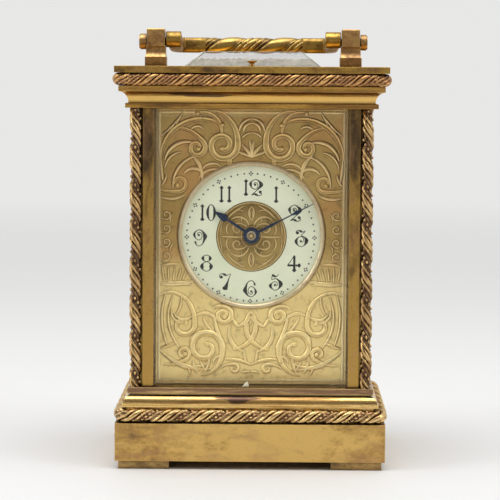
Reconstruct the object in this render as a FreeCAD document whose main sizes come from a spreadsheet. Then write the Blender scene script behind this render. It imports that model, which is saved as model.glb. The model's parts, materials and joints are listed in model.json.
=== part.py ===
import FreeCAD, Part
import math
import os
import re

import Sketcher

# Carriage clock: glazed brass case, folding handle, dial, hands and an eight-day lever movement.
# Frame: X to the right of the dial, Y from the dial to the rear door, Z up.
# The origin is the middle of the case, on the surface that the feet stand on. Millimetres.

SIZES = {
    # The case is this much shallower, each side of the middle, than it is wide.
    "depth_less": 5.0,
    # Feet and plinth
    "foot_out": 47.4, "foot_side": 18.2, "foot_top": 3.0,
    "plinth_out": 48.65, "plinth_top": 16.6, "plinth_wall": 3.0,
    # Rope of the base, and the moulded base above it
    "base_rope_out": 49.6, "base_rope_radius": 2.45, "base_rope_level": 19.3,
    "base_core": 44.6, "base_lip_out": 46.3, "base_lip_low": 22.15, "base_lip_top": 23.4,
    "base_round_out": 45.9, "base_round_in": 43.7, "base_round_top": 26.3,
    "base_quirk": 43.3, "base_fillet_low": 26.9, "base_fillet_out": 44.4,
    "floor_top": 29.1, "floor_thick": 3.0, "floor_hollow": 37.0,
    # Corner pillars and the rope columns in front of them
    "pillar_in": 35.2, "pillar_out": 39.1, "pillar_face": 37.0, "pillar_web": 4.0,
    "groove_front": 35.7, "groove_wide": 1.0, "groove_deep": 1.0,
    "column_x": 41.7, "column_radius": 2.15,
    # Cornice, the rope of the top, and the top plate
    "cornice_low": 129.9, "cornice_lip_out": 45.3, "cornice_lip_top": 131.5,
    "cornice_neck": 44.2, "cornice_neck_top": 131.9, "cornice_flare": 47.2,
    "cornice_flare_top": 135.8, "cornice_out": 47.6, "cornice_top": 137.8,
    "crown_core": 45.2, "crown_opening": 31.0,
    "top_rope_out": 49.9, "top_rope_radius": 2.3, "top_rope_level": 140.15,
    "top_low": 142.5, "top_high": 144.85, "top_out": 49.05, "top_window": 23.0,
    # Bevelled glasses
    "pane_edge": 0.9, "pane_thick": 2.1, "pane_bevel": 2.7, "pane_tuck": 0.9, "pane_slack": 0.1,
    "lid_glass_low": 25.0, "lid_glass_high": 18.6, "lid_glass_top": 150.2, "lid_plug": 22.8,
    # Rear door
    "door_in": 35.0, "door_face": 38.0, "door_gap": 0.3, "door_border": 4.2, "door_end_gap": 0.4,
    "door_rebate": 1.0, "door_rebate_deep": 1.2, "hinge_pin_radius": 0.8, "hinge_pin_into": 4.2,
    "hinge_pin_root": 2.6, "knob_x": -32.8, "knob_level": 79.5, "knob_radius": 2.2, "knob_long": 5.0,
    # Folding handle
    "post_x": 36.3, "post_foot": 4.0, "post_neck": 3.7, "post_head": 3.35, "post_foot_top": 148.2,
    "post_neck_top": 152.2, "post_high": 158.75, "post_foot_deep": 4.2, "post_waist_deep": 3.2,
    "post_head_deep": 3.5, "post_corner": 0.35,
    "pivot_level": 153.9, "pivot_pin": 1.5, "pivot_head": 2.95, "pivot_head_out": 42.5,
    "bail_arm_x": 29.7, "bail_bar": 5.8, "bail_reach": 31.0, "bail_corner": 5.0, "bail_droop": 3.5,
    "bail_rise": 0.85, "boss_radius": 3.0, "running": 0.05,
    # Dial
    "dial_level": 83.8, "mask_half": 34.6, "mask_low": 29.5, "mask_high": 129.5,
    "mask_front": 30.2, "mask_back": 28.8, "plate_behind": 27.6, "mask_hole": 25.75,
    "bezel_out": 27.1, "bezel_in": 25.15, "bezel_front": 31.4,
    "chapter_out": 25.6, "chapter_in": 13.0, "disc_out": 12.9, "disc_front": 30.0, "disc_hole": 2.4,
    "dial_foot_x": 25.5, "dial_foot_low": 40.0, "dial_foot_high": 104.0, "dial_foot_radius": 1.6,
    # Hands
    "hour_long": 16.0, "hour_front": 31.5, "hour_thick": 0.55, "hour_angle": 302.6, "hour_boss": 2.7,
    "minute_long": 25.2, "minute_front": 32.7, "minute_thick": 0.55, "minute_angle": 62.5,
    "minute_boss": 2.9, "collet_radius": 1.7, "collet_front": 33.7, "arbor_front": 33.9,
    # Movement plates: distances in front of and behind the middle of the case
    "plates_half": 29.0, "plates_top": 118.0, "front_out": 22.0, "front_in": 20.0,
    "back_in": 14.0, "back_out": 16.0, "pillar_post_x": 25.0, "pillar_post_low": 34.0,
    "pillar_post_high": 113.0, "pillar_post_radius": 2.4,
    # Train: teeth and tooth modules
    "barrel_teeth": 84, "barrel_module": 0.45, "great_pinion": 14,
    "inter_teeth": 72, "inter_module": 0.36, "centre_pinion": 12,
    "centre_teeth": 64, "centre_module": 0.34, "third_pinion": 8,
    "third_teeth": 60, "third_module": 0.30, "contrate_pinion": 8,
    "contrate_teeth": 60, "contrate_module": 0.28, "escape_pinion": 6,
    "motion_teeth": 42, "motion_module": 0.30, "cannon_teeth": 14,
    "hour_teeth": 48, "hour_module": 0.28, "minute_pinion": 12,
    # Train: levels along Y
    "barrel_level": 51.0, "contrate_level": 103.5, "barrel_drum": 17.6, "barrel_wall": 0.9,
    "barrel_front": 17.0, "barrel_shoulder": 15.0, "barrel_floor": 14.5, "barrel_back": 7.0,
    "cover_thick": 1.5, "winding_radius": 2.5, "spring_core": 4.2, "square_side": 4.1,
    "winding_end": 27.0, "back_bearing": 3.0,
    "ratchet_near": 16.6, "ratchet_thick": 1.8, "ratchet_tip": 7.5, "ratchet_teeth": 24,
    "click_x": -11.5, "click_level": 58.5, "click_screw_radius": 1.0,
    "spring_strip": 0.35, "spring_turns": 8, "spring_inner": 9.5, "spring_outer": 16.3,
    "spring_wide": 17.0,
    # Platform escapement on top of the plates
    "platform_half": 17.0, "platform_thick": 2.0, "escape_y": -12.0, "lever_y": -6.4,
    "balance_y": 3.0, "escape_tip": 4.2, "escape_teeth": 15, "action_level": 121.6,
    "action_thick": 0.5, "balance_radius": 8.2, "balance_level": 124.0, "balance_thick": 0.9,
    "cock_level": 126.4, "cock_thick": 1.5, "bridge_level": 123.0, "bridge_thick": 0.8,
    "coil_level": 125.4, "coil_wide": 0.4, "coil_strip": 0.14, "coil_inner": 1.4,
    "coil_outer": 5.0, "coil_turns": 5,
}

# Tooth proportions in modules: height above and below the pitch circle, and the half-widths
# at the root, at the pitch circle and at the tip. Pinion leaves are slimmer, for free running.
WHEEL_TOOTH = (0.75, 1.25, 0.62, 0.55, 0.22)
PINION_LEAF = (0.60, 1.15, 0.36, 0.36, 0.16)

# Formulas that several sub-parts share: the door's hinge line, and the seat screws' line.
HINGE_X = "pillar_in - door_gap - (door_face - door_in) / 2"
HINGE_Y = "(door_face + door_in) / 2"
SEAT_Y = "-3"

# Least volume, in cubic millimetres, that counts as something cut away.
LEAST_CUT = 0.001

X_AXIS = FreeCAD.Vector(1, 0, 0)
Y_AXIS = FreeCAD.Vector(0, 1, 0)
Z_AXIS = FreeCAD.Vector(0, 0, 1)

doc = FreeCAD.newDocument("CarriageClock")
sheet = doc.addObject("Spreadsheet::Sheet", "sizes")
nodes = []


# ---------------------------------------------------------------- sizes and expressions

def add_sizes(values):
    """Add named cells to the sheet."""
    for name, value in values.items():
        row = len(known) + 1
        known.append(name)
        sheet.set(f"A{row}", name)
        sheet.set(f"B{row}", repr(float(value)))
        sheet.setAlias(f"B{row}", name)
    doc.recompute()


def bound(text):
    """Turn a formula of cell names into one that FreeCAD reads from the sheet."""
    return re.sub(r"[a-z][a-z_]+", lambda m: "sizes." + m[0] if m[0] in known else m[0], str(text))


def number(text):
    """The present value of a formula of cell names."""
    return float(sheet.evalExpression(bound(text)))


def corner_between(start, end, from_start, from_end, side):
    """The point that is from_start away from start and from_end away from end."""
    across, up = end[0] - start[0], end[1] - start[1]
    span = math.hypot(across, up)
    along = (from_start ** 2 - from_end ** 2 + span ** 2) / (2 * span)
    off = side * math.sqrt(from_start ** 2 - along ** 2)
    return (start[0] + (along * across - off * up) / span,
            start[1] + (along * up + off * across) / span)


known = []
add_sizes(SIZES)

# Arbor places: the intermediate and third arbors stand where their two meshes put them.
barrel_at = (0.0, number("barrel_level"))
centre_at = (0.0, number("dial_level"))
contrate_at = (0.0, number("contrate_level"))
inter_at = corner_between(barrel_at, centre_at,
                          number("barrel_module * (barrel_teeth + great_pinion) / 2"),
                          number("inter_module * (inter_teeth + centre_pinion) / 2"), -1)
third_at = corner_between(centre_at, contrate_at,
                          number("centre_module * (centre_teeth + third_pinion) / 2"),
                          number("third_module * (third_teeth + contrate_pinion) / 2"), 1)
motion_span = number("motion_module * (motion_teeth + cannon_teeth) / 2")
MOTION_ANGLE = -45
motion_at = (motion_span * math.cos(math.radians(MOTION_ANGLE)),
             centre_at[1] + motion_span * math.sin(math.radians(MOTION_ANGLE)))
add_sizes({"inter_x": inter_at[0], "inter_level": inter_at[1],
           "third_x": third_at[0], "third_level": third_at[1],
           "motion_x": motion_at[0], "motion_level": motion_at[1]})


# ---------------------------------------------------------------- modelling helpers

def node(thing, name=None):
    """Keep an object as a sub-part under its own label."""
    if name:
        thing.Label = name
    nodes.append(thing)
    return thing


def new_body(name):
    return doc.addObject("PartDesign::Body", name)


def origin_of(body, role):
    return next(item for item in body.Origin.OriginFeatures if item.Role == role)


def place(thing, x="0", y="0", z="0", axis=None, angle=0):
    """Put an object at a place taken from the sheet, turned about one axis."""
    turn = FreeCAD.Rotation(axis, angle) if axis else FreeCAD.Rotation()
    thing.Placement = FreeCAD.Placement(FreeCAD.Vector(number(x), number(y), number(z)), turn)
    for key, value in (("x", x), ("y", y), ("z", z)):
        thing.setExpression(f"Placement.Base.{key}", bound(value))
    return thing


def new_sketch(body, role, level="0"):
    """A sketch on one of the body's origin planes, or at a level in front of it."""
    sketch = body.newObject("Sketcher::SketchObject", "outline")
    sketch.AttachmentSupport = (origin_of(body, role), "")
    sketch.MapMode = "FlatFace"
    sketch.setExpression("AttachmentOffset.Base.z", bound(level))
    return sketch


def add_outline(sketch, points):
    """Draw a closed outline; a third value bows the edge that leaves the point outwards."""
    first = sketch.GeometryCount
    count = len(points)
    spots = [FreeCAD.Vector(number(p[0]), number(p[1]), 0) for p in points]
    edges = []
    for index, point in enumerate(points):
        start, end = spots[index], spots[(index + 1) % count]
        if len(point) > 2:
            along = end - start
            middle = (start + end) * 0.5 + FreeCAD.Vector(along.y, -along.x, 0) * (point[2] / 2)
            edges.append(Part.Arc(start, middle, end))
        else:
            edges.append(Part.LineSegment(start, end))
    sketch.addGeometry(edges, False)
    head = []
    for index in range(count):
        near = sketch.getPoint(first + index, 1).distanceToPoint(spots[index])
        far = sketch.getPoint(first + index, 2).distanceToPoint(spots[index])
        head.append(1 if near <= far else 2)
    for index in range(count):
        following = (index + 1) % count
        sketch.addConstraint(Sketcher.Constraint(
            "Coincident", first + index, 3 - head[index], first + following, head[following]))
    for index, point in enumerate(points):
        for kind, value in (("DistanceX", point[0]), ("DistanceY", point[1])):
            row = sketch.addConstraint(Sketcher.Constraint(
                kind, -1, 1, first + index, head[index], number(value)))
            sketch.setExpression(f"Constraints[{row}]", bound(value))
        if len(point) > 2:
            sketch.addConstraint(Sketcher.Constraint(
                "Radius", first + index, sketch.Geometry[first + index].Radius))


def add_circle(sketch, x, y, radius):
    """Draw a circle whose centre and radius follow the sheet."""
    index = sketch.GeometryCount
    centre = FreeCAD.Vector(number(x), number(y), 0)
    sketch.addGeometry(Part.Circle(centre, Z_AXIS, number(radius)), False)
    for kind, value in (("DistanceX", x), ("DistanceY", y)):
        row = sketch.addConstraint(Sketcher.Constraint(kind, -1, 1, index, 3, number(value)))
        sketch.setExpression(f"Constraints[{row}]", bound(value))
    row = sketch.addConstraint(Sketcher.Constraint("Radius", index, number(radius)))
    sketch.setExpression(f"Constraints[{row}]", bound(radius))


def pad(body, sketch, length, both_ways=False):
    feature = body.newObject("PartDesign::Pad", "pad")
    feature.Profile = sketch
    feature.setExpression("Length", bound(length))
    feature.Midplane = both_ways
    doc.recompute()
    return feature


def pocket(body, sketch, length="0", through=False, both_ways=False):
    """Cut a sketch out of the body and make sure that it took something away."""
    uncut = body.Shape.Volume - LEAST_CUT
    feature = body.newObject("PartDesign::Pocket", "pocket")
    feature.Profile = sketch
    if through:
        feature.Type = "ThroughAll"
    else:
        feature.setExpression("Length", bound(length))
    feature.Midplane = both_ways
    doc.recompute()
    if body.Shape.Volume > uncut:
        feature.Reversed = True
        doc.recompute()
    if body.Shape.Volume > uncut:
        raise RuntimeError(f"{body.Label}: a pocket cuts nothing")
    return feature


def revolve(body, points, axis):
    """Turn an outline about a body axis: points are (along, radius) for X and Y, swapped for Z."""
    role = {"X": "XY_Plane", "Y": "YZ_Plane", "Z": "XZ_Plane"}[axis]
    sketch = new_sketch(body, role)
    if axis == "Z":
        points = [(p[1], p[0]) + tuple(p[2:]) for p in points]
    add_outline(sketch, points)
    feature = body.newObject("PartDesign::Revolution", "turned")
    feature.Profile = sketch
    feature.ReferenceAxis = (sketch, ["V_Axis" if axis == "Z" else "H_Axis"])
    feature.Angle = 360
    doc.recompute()
    return feature


def stepped(steps):
    """Outline of a turned piece from (end of the step, radius) pairs after a starting place."""
    start, rest = steps[0], steps[1:]
    outline = [(start, "0")]
    here = start
    for end, radius in rest:
        outline += [(here, radius), (end, radius)]
        here = end
    outline.append((here, "0"))
    return outline


def turned(name, steps, axis, x="0", y="0", z="0", turn=0):
    """A body turned on one axis from steps of (end, radius)."""
    body = new_body(name)
    revolve(body, stepped(steps), axis)
    about = {"X": X_AXIS, "Y": Y_AXIS, "Z": Z_AXIS}[axis]
    return place(body, x, y, z, about, turn)


def polar(body, feature, axis, count):
    """Repeat a feature round a body axis."""
    pattern = body.newObject("PartDesign::PolarPattern", "ring")
    pattern.Originals = [feature]
    pattern.Axis = (origin_of(body, axis + "_Axis"), [""])
    pattern.Angle = 360
    pattern.setExpression("Occurrences", bound(count))
    body.Tip = pattern
    doc.recompute()
    return pattern


def add_teeth(body, teeth, module, near, thick, tooth, axis="Y"):
    """Ring of teeth round the body's axis; near is where the face starts, thick its width."""
    above, below, root, pitch, tip = tooth
    circle = f"{module} * {teeth} / 2"
    level = near if axis == "Z" else f"-({near}) - ({thick})"
    sketch = new_sketch(body, "XY_Plane" if axis == "Z" else "XZ_Plane", level)
    add_outline(sketch, [
        (f"-{root} * {module}", f"{circle} - {below + 0.4} * {module}"),
        (f"{root} * {module}", f"{circle} - {below + 0.4} * {module}"),
        (f"{root} * {module}", f"{circle} - {below} * {module}"),
        (f"{pitch} * {module}", circle),
        (f"{tip} * {module}", f"{circle} + {above} * {module}"),
        (f"-{tip} * {module}", f"{circle} + {above} * {module}"),
        (f"-{pitch} * {module}", circle),
        (f"-{root} * {module}", f"{circle} - {below} * {module}"),
    ])
    return polar(body, pad(body, sketch, thick), axis, teeth)


def root_radius(teeth, module, tooth):
    return f"{module} * {teeth} / 2 - {tooth[1]} * {module}"


def angle_to(start, end):
    """Angle from straight up at start, clockwise seen from the front, to face end."""
    return math.degrees(math.atan2(end[0] - start[0], end[1] - start[1]))


def box(name, low, high):
    """A Part::Box between two corners given as formulas."""
    thing = doc.addObject("Part::Box", name)
    for side, a, b in zip(("Length", "Width", "Height"), low, high):
        thing.setExpression(side, bound(f"({b}) - ({a})"))
    return place(thing, *low)


def cylinder(name, radius, length, x="0", y="0", z="0", axis=None, angle=0):
    thing = doc.addObject("Part::Cylinder", name)
    thing.setExpression("Radius", bound(radius))
    thing.setExpression("Height", bound(length))
    return place(thing, x, y, z, axis, angle)


def ball(name, radius, x, y, z):
    thing = doc.addObject("Part::Sphere", name)
    thing.setExpression("Radius", bound(radius))
    return place(thing, x, y, z)


def frustum(name, base, top, height, x="0", y="0", z="0", axis=None, angle=0):
    """Block with sloping sides: half sizes (across, along) at its base and its top, base at z = 0."""
    thing = doc.addObject("Part::Wedge", name)
    for prop, value in (("Xmin", f"-({base[0]})"), ("Xmax", base[0]), ("Zmin", f"-({base[1]})"),
                        ("Zmax", base[1]), ("X2min", f"-({top[0]})"), ("X2max", top[0]),
                        ("Z2min", f"-({top[1]})"), ("Z2max", top[1]), ("Ymin", "0"),
                        ("Ymax", height)):
        thing.setExpression(prop, bound(value))
    return place(thing, x, y, z, axis, angle)


def joined(name, parts):
    thing = doc.addObject("Part::MultiFuse", name)
    thing.Shapes = parts
    return thing


def cut(name, base, tools):
    """Cut the tools out of the base and make sure that they took something away."""
    tool = tools[0] if len(tools) == 1 else joined("tools", tools)
    thing = doc.addObject("Part::Cut", name)
    thing.Base, thing.Tool = base, tool
    doc.recompute()
    if thing.Shape.Volume > base.Shape.Volume - LEAST_CUT:
        raise RuntimeError(f"{name}: a cut takes nothing away")
    return thing


def common(name, parts):
    thing = doc.addObject("Part::MultiCommon", name)
    thing.Shapes = parts
    return thing


def group(name, parts):
    """Several separate solids kept as one sub-part."""
    thing = doc.addObject("Part::Compound", name)
    thing.Links = parts
    return thing


def mirrored(thing, normal):
    copy = doc.addObject("Part::Mirroring", thing.Name + "_mirrored")
    copy.Source = thing
    copy.Normal = normal
    copy.Base = FreeCAD.Vector(0, 0, 0)
    return copy


def extruded(name, plane, points, length, level="0"):
    """A free sketch on a plane (XY, XZ or YZ), pulled the same way both sides of a level."""
    sketch = doc.addObject("Sketcher::SketchObject", name + "_outline")
    turn = {"XY": FreeCAD.Rotation(), "XZ": FreeCAD.Rotation(X_AXIS, 90),
            "YZ": FreeCAD.Rotation(FreeCAD.Vector(1, 1, 1), 120)}[plane]
    sketch.Placement = FreeCAD.Placement(FreeCAD.Vector(), turn)
    add_outline(sketch, points)
    thing = doc.addObject("Part::Extrusion", name)
    thing.Base = sketch
    thing.DirMode = "Normal"
    thing.Solid = True
    thing.Symmetric = True
    thing.setExpression("LengthFwd", bound(length))
    across = {"XY": "z", "XZ": "y", "YZ": "x"}[plane]
    return place(thing, **{across: level})


def both_sides(outline):
    """A half outline, from its foot to its top, closed with its mirror image."""
    left = []
    for index in range(len(outline) - 1, -1, -1):
        x, z = outline[index][:2]
        bow = outline[index - 1][2:] if index > 0 else ()
        left.append((f"-({x})", z) + tuple(bow))
    return list(outline) + left


def ring_moulding(name, outline):
    """A block with the same moulding on its four sides, mitred at the corners."""
    side = [(f"{p[0]} - depth_less",) + tuple(p[1:]) for p in outline]
    long_way = extruded(name + "_front", "XZ", both_sides(outline), "4 * top_out")
    short_way = extruded(name + "_side", "YZ", both_sides(side), "4 * top_out")
    return common(name + "_block", [long_way, short_way])


def spiral_strip(name, inner, outer, turns, strip, low, wide, turn_to):
    """A flat coiled strip, low to low + wide along the turned axis."""
    inner, outer, turns, strip = (number(value) for value in (inner, outer, turns, strip))
    steps_per_turn = 24
    steps = int(turns * steps_per_turn)

    def coil(offset):
        points = []
        for step in range(steps + 1):
            angle = 2 * math.pi * step / steps_per_turn
            radius = inner + (outer - inner) * step / steps + offset
            points.append(FreeCAD.Vector(radius * math.cos(angle), radius * math.sin(angle), 0))
        curve = Part.BSplineCurve()
        curve.interpolate(points)
        return curve.toShape(), points[0], points[-1]

    inside, inside_start, inside_end = coil(-strip / 2)
    outside, outside_start, outside_end = coil(strip / 2)
    wire = Part.Wire([inside, Part.makeLine(inside_end, outside_end), outside,
                      Part.makeLine(outside_start, inside_start)])
    solid = Part.Face(wire).extrude(FreeCAD.Vector(0, 0, number(wide)))
    thing = doc.addObject("Part::Feature", name)
    thing.Shape = solid
    thing.Placement = FreeCAD.Placement(FreeCAD.Vector(*[number(value) for value in low]), turn_to)
    return thing


# ---------------------------------------------------------------- case: base

def build_feet():
    feet = []
    for side_x in (-1, 1):
        for side_y in (-1, 1):
            low_x = "foot_out - foot_side" if side_x > 0 else "-foot_out"
            low_y = "foot_out - depth_less - foot_side" if side_y > 0 else "depth_less - foot_out"
            feet.append(box("foot", (low_x, low_y, "0"),
                            (f"{low_x} + foot_side", f"{low_y} + foot_side", "foot_top")))
    node(group("feet", feet))


def build_plinth():
    body = node(new_body("base_plinth"))
    sketch = new_sketch(body, "XY_Plane", "foot_top")
    add_outline(sketch, rectangle("plinth_out", "plinth_out - depth_less"))
    pad(body, sketch, "plinth_top - foot_top")
    hollow = new_sketch(body, "XY_Plane", "foot_top")
    inside = "plinth_out - plinth_wall"
    add_outline(hollow, rectangle(inside, f"{inside} - depth_less"))
    pocket(body, hollow, "plinth_top - foot_top - plinth_wall")


def rectangle(half_x, half_y):
    """Corners of a rectangle about the middle."""
    return [(f"-({half_x})", f"-({half_y})"), (half_x, f"-({half_y})"),
            (half_x, half_y), (f"-({half_x})", half_y)]


def build_rope(name, outside, radius, level):
    """A rope moulding laid round the case: four round rods that end in a ball at each corner."""
    reach = f"{outside} - {radius}"
    deep = f"{reach} - depth_less"
    parts = []
    for sign in ("-", ""):
        parts.append(cylinder("rod", radius, f"2 * ({reach})", f"-({reach})", f"{sign}({deep})",
                              level, Y_AXIS, 90))
        parts.append(cylinder("rod", radius, f"2 * ({deep})", f"{sign}({reach})", deep, level,
                              X_AXIS, 90))
        for other in ("-", ""):
            parts.append(ball("end", radius, f"{sign}({reach})", f"{other}({deep})", level))
    node(joined(name, parts))


def hinge_hole(radius, low, high):
    """A hole or pin on the door's hinge line between two levels."""
    return cylinder("hinge_line", radius, f"({high}) - ({low})", HINGE_X, HINGE_Y, low)


def build_base_moulding():
    block = ring_moulding("base_moulding", [
        ("base_core", "plinth_top"), ("base_core", "base_lip_low"),
        ("base_lip_out", "base_lip_low"), ("base_lip_out", "base_lip_top"),
        ("base_round_out", "base_lip_top", 0.35), ("base_round_in", "base_round_top"),
        ("base_quirk", "base_round_top"), ("base_quirk", "base_fillet_low"),
        ("base_fillet_out", "base_fillet_low"), ("base_fillet_out", "floor_top")])
    hollow = box("hollow", ("-floor_hollow", "depth_less - floor_hollow", "plinth_top - 1"),
                 ("floor_hollow", "floor_hollow - depth_less", "floor_top - floor_thick"))
    pin_hole = hinge_hole("hinge_pin_radius", "floor_top - hinge_pin_root", "floor_top + 1")
    screw_holes = [cylinder("hole", "1.3", "floor_thick + 2", f"{sign}pillar_post_x", SEAT_Y,
                            "floor_top - floor_thick - 1") for sign in ("-", "")]
    node(cut("base_moulding", block, [hollow, pin_hole] + screw_holes))


# ---------------------------------------------------------------- case: pillars and glasses

def pillar_outline(sign, front_groove):
    """Plan of one corner pillar: two flat strips at a right angle, grooved for the glasses."""

    def depth(value):
        return f"{sign} * ({value})"

    outline = [
        ("pillar_in", depth("pillar_face")), ("pillar_out", depth("pillar_face")),
        ("pillar_out", depth("pillar_out - depth_less")),
        ("pillar_face + depth_less", depth("pillar_out - depth_less")),
        ("pillar_face + depth_less", depth("pillar_in - depth_less")),
        ("groove_front + depth_less", depth("pillar_in - depth_less")),
        ("groove_front + depth_less", depth("pillar_in - depth_less + groove_deep")),
        ("groove_front + depth_less - groove_wide", depth("pillar_in - depth_less + groove_deep")),
        ("groove_front + depth_less - groove_wide", depth("pillar_in - depth_less")),
        ("pillar_face + depth_less - pillar_web", depth("pillar_in - depth_less")),
        ("pillar_face + depth_less - pillar_web", depth("pillar_face - pillar_web")),
        ("pillar_in", depth("pillar_face - pillar_web"))]
    if front_groove:
        outline += [
            ("pillar_in", depth("groove_front - groove_wide")),
            ("pillar_in + groove_deep", depth("groove_front - groove_wide")),
            ("pillar_in + groove_deep", depth("groove_front")),
            ("pillar_in", depth("groove_front"))]
    return outline


def build_pillars():
    middle = "(floor_top + cornice_low) / 2"
    for name, sign, front_groove in (("front_pillars", -1, True), ("rear_pillars", 1, False)):
        right = extruded(name + "_right", "XY", pillar_outline(sign, front_groove),
                         "cornice_low - floor_top", middle)
        node(group(name, [right, mirrored(right, X_AXIS)]))


def build_columns():
    columns = []
    for x in ("-column_x", "column_x"):
        for y in ("depth_less - column_x", "column_x - depth_less"):
            columns.append(cylinder("column", "column_radius", "cornice_low - floor_top",
                                    x, y, "floor_top"))
    node(group("rope_columns", columns))


def pane(name, half_wide, x, y, turn):
    """A glass whose edges are bevelled on the outside; it stands on the floor of the case."""
    half_high = "(cornice_low - floor_top) / 2"
    shoulder = "pane_tuck + pane_slack"
    slab = doc.addObject("Part::Box", "slab")
    slab.setExpression("Length", bound(f"2 * ({half_wide} + pane_tuck)"))
    slab.setExpression("Width", bound("pane_edge"))
    slab.setExpression("Height", bound(f"2 * ({half_high})"))
    place(slab, f"-({half_wide} + pane_tuck)", "-pane_edge", f"-({half_high})")
    face = frustum("face", (f"{half_wide} - pane_slack", f"{half_high} - pane_slack"),
                   (f"{half_wide} - pane_bevel", f"{half_high} - {shoulder} - pane_bevel + 1"),
                   "pane_thick - pane_edge", "0", "-pane_edge", "0", Z_AXIS, 180)
    return place(joined(name, [slab, face]), x, y, "(cornice_low + floor_top) / 2", Z_AXIS, turn)


def build_panes():
    node(pane("front_glass", "pillar_in", "0", "groove_wide - groove_front", 0))
    right = pane("side_glass", "pillar_in - depth_less",
                 "groove_front + depth_less - groove_wide", "0", 90)
    node(group("side_glasses", [right, mirrored(right, X_AXIS)]))


# ---------------------------------------------------------------- case: top

def build_cornice():
    block = ring_moulding("cornice", [
        ("cornice_lip_out", "cornice_low"), ("cornice_lip_out", "cornice_lip_top"),
        ("cornice_neck", "cornice_lip_top"), ("cornice_neck", "cornice_neck_top", -0.35),
        ("cornice_flare", "cornice_flare_top"), ("cornice_out", "cornice_flare_top"),
        ("cornice_out", "cornice_top"), ("crown_core", "cornice_top"),
        ("crown_core", "top_low")])
    opening = box("opening", ("-crown_opening", "depth_less - crown_opening", "cornice_low - 1"),
                  ("crown_opening", "crown_opening - depth_less", "top_low + 1"))
    pin_hole = hinge_hole("hinge_pin_radius", "cornice_low - 1", "cornice_low + hinge_pin_root")
    node(cut("cornice", block, [opening, pin_hole]))


def build_top_plate():
    body = node(new_body("top_plate"))
    sketch = new_sketch(body, "XY_Plane", "top_low")
    add_outline(sketch, rectangle("top_out", "top_out - depth_less"))
    pad(body, sketch, "top_high - top_low")
    window = new_sketch(body, "XY_Plane", "top_low")
    add_outline(window, rectangle("top_window", "top_window - depth_less"))
    pocket(body, window, through=True)


def build_top_glass():
    plug = box("plug", ("-lid_plug", "depth_less - lid_plug", "top_low"),
               ("lid_plug", "lid_plug - depth_less", "top_high"))
    bevel = frustum("bevel", ("lid_glass_low", "lid_glass_low - depth_less"),
                    ("lid_glass_high", "lid_glass_high - depth_less"),
                    "lid_glass_top - top_high", "0", "0", "top_high", X_AXIS, 90)
    node(joined("top_glass", [plug, bevel]))


# ---------------------------------------------------------------- case: rear door

def build_door():
    """Glazed frame whose hinge edge is rounded about the hinge line."""
    low, high = "floor_top + door_end_gap", "cornice_low - door_end_gap"
    inner = "pillar_in - door_gap - door_border"
    slab = box("slab", ("door_gap - pillar_in", "door_in", low), (HINGE_X, "door_face", high))
    edge = cylinder("edge", "(door_face - door_in) / 2", f"({high}) - ({low})",
                    HINGE_X, HINGE_Y, low)
    window = box("window", (f"-({inner})", "door_in - 1", f"{low} + door_border"),
                 (inner, "door_face + 1", f"{high} - door_border"))
    wider = f"{inner} + door_rebate"
    rebate = box("rebate", (f"-({wider})", "door_in - 1", f"{low} + door_border - door_rebate"),
                 (wider, "door_in + door_rebate_deep", f"{high} - door_border + door_rebate"))
    holes = [hinge_hole("hinge_pin_radius + running", f"{low} - 1", f"{low} + hinge_pin_into"),
             hinge_hole("hinge_pin_radius + running", f"{high} - hinge_pin_into", f"{high} + 1")]
    stem = cylinder("stem", "1", "door_face - door_in + 2", "knob_x", "door_in - 1", "knob_level",
                    X_AXIS, -90)
    node(cut("door_frame", joined("door_solid", [slab, edge]), [window, rebate, stem] + holes))

    half_high = f"(({high}) - ({low})) / 2 - door_border"
    glass = joined("door_glass", [
        box("slab", (f"0.05 - ({wider})", "door_in", f"{low} + door_border - door_rebate + 0.05"),
            (f"{wider} - 0.05", "door_in + door_rebate_deep",
             f"{high} - door_border + door_rebate - 0.05")),
        frustum("face", (f"{inner} - 0.05", f"{half_high} - 0.05"),
                (f"{inner} - pane_bevel", f"{half_high} - pane_bevel"), "1.2",
                "0", "door_in + door_rebate_deep", f"(({high}) + ({low})) / 2")])
    node(glass)

    node(turned("door_knob", ["door_in", ("door_face", "1"), ("door_face + 2", "1.3"),
                              ("door_face + 2.8", "knob_radius - 0.5"),
                              ("door_face + knob_long - 0.8", "knob_radius"),
                              ("door_face + knob_long", "knob_radius - 0.6")],
                "Y", x="knob_x", z="knob_level"))
    pins = [hinge_hole("hinge_pin_radius", "floor_top - hinge_pin_root",
                       f"{low} + hinge_pin_into - 0.3"),
            hinge_hole("hinge_pin_radius", f"{high} - hinge_pin_into + 0.3",
                       "cornice_low + hinge_pin_root")]
    node(group("door_hinge_pins", pins))


# ---------------------------------------------------------------- folding handle

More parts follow.
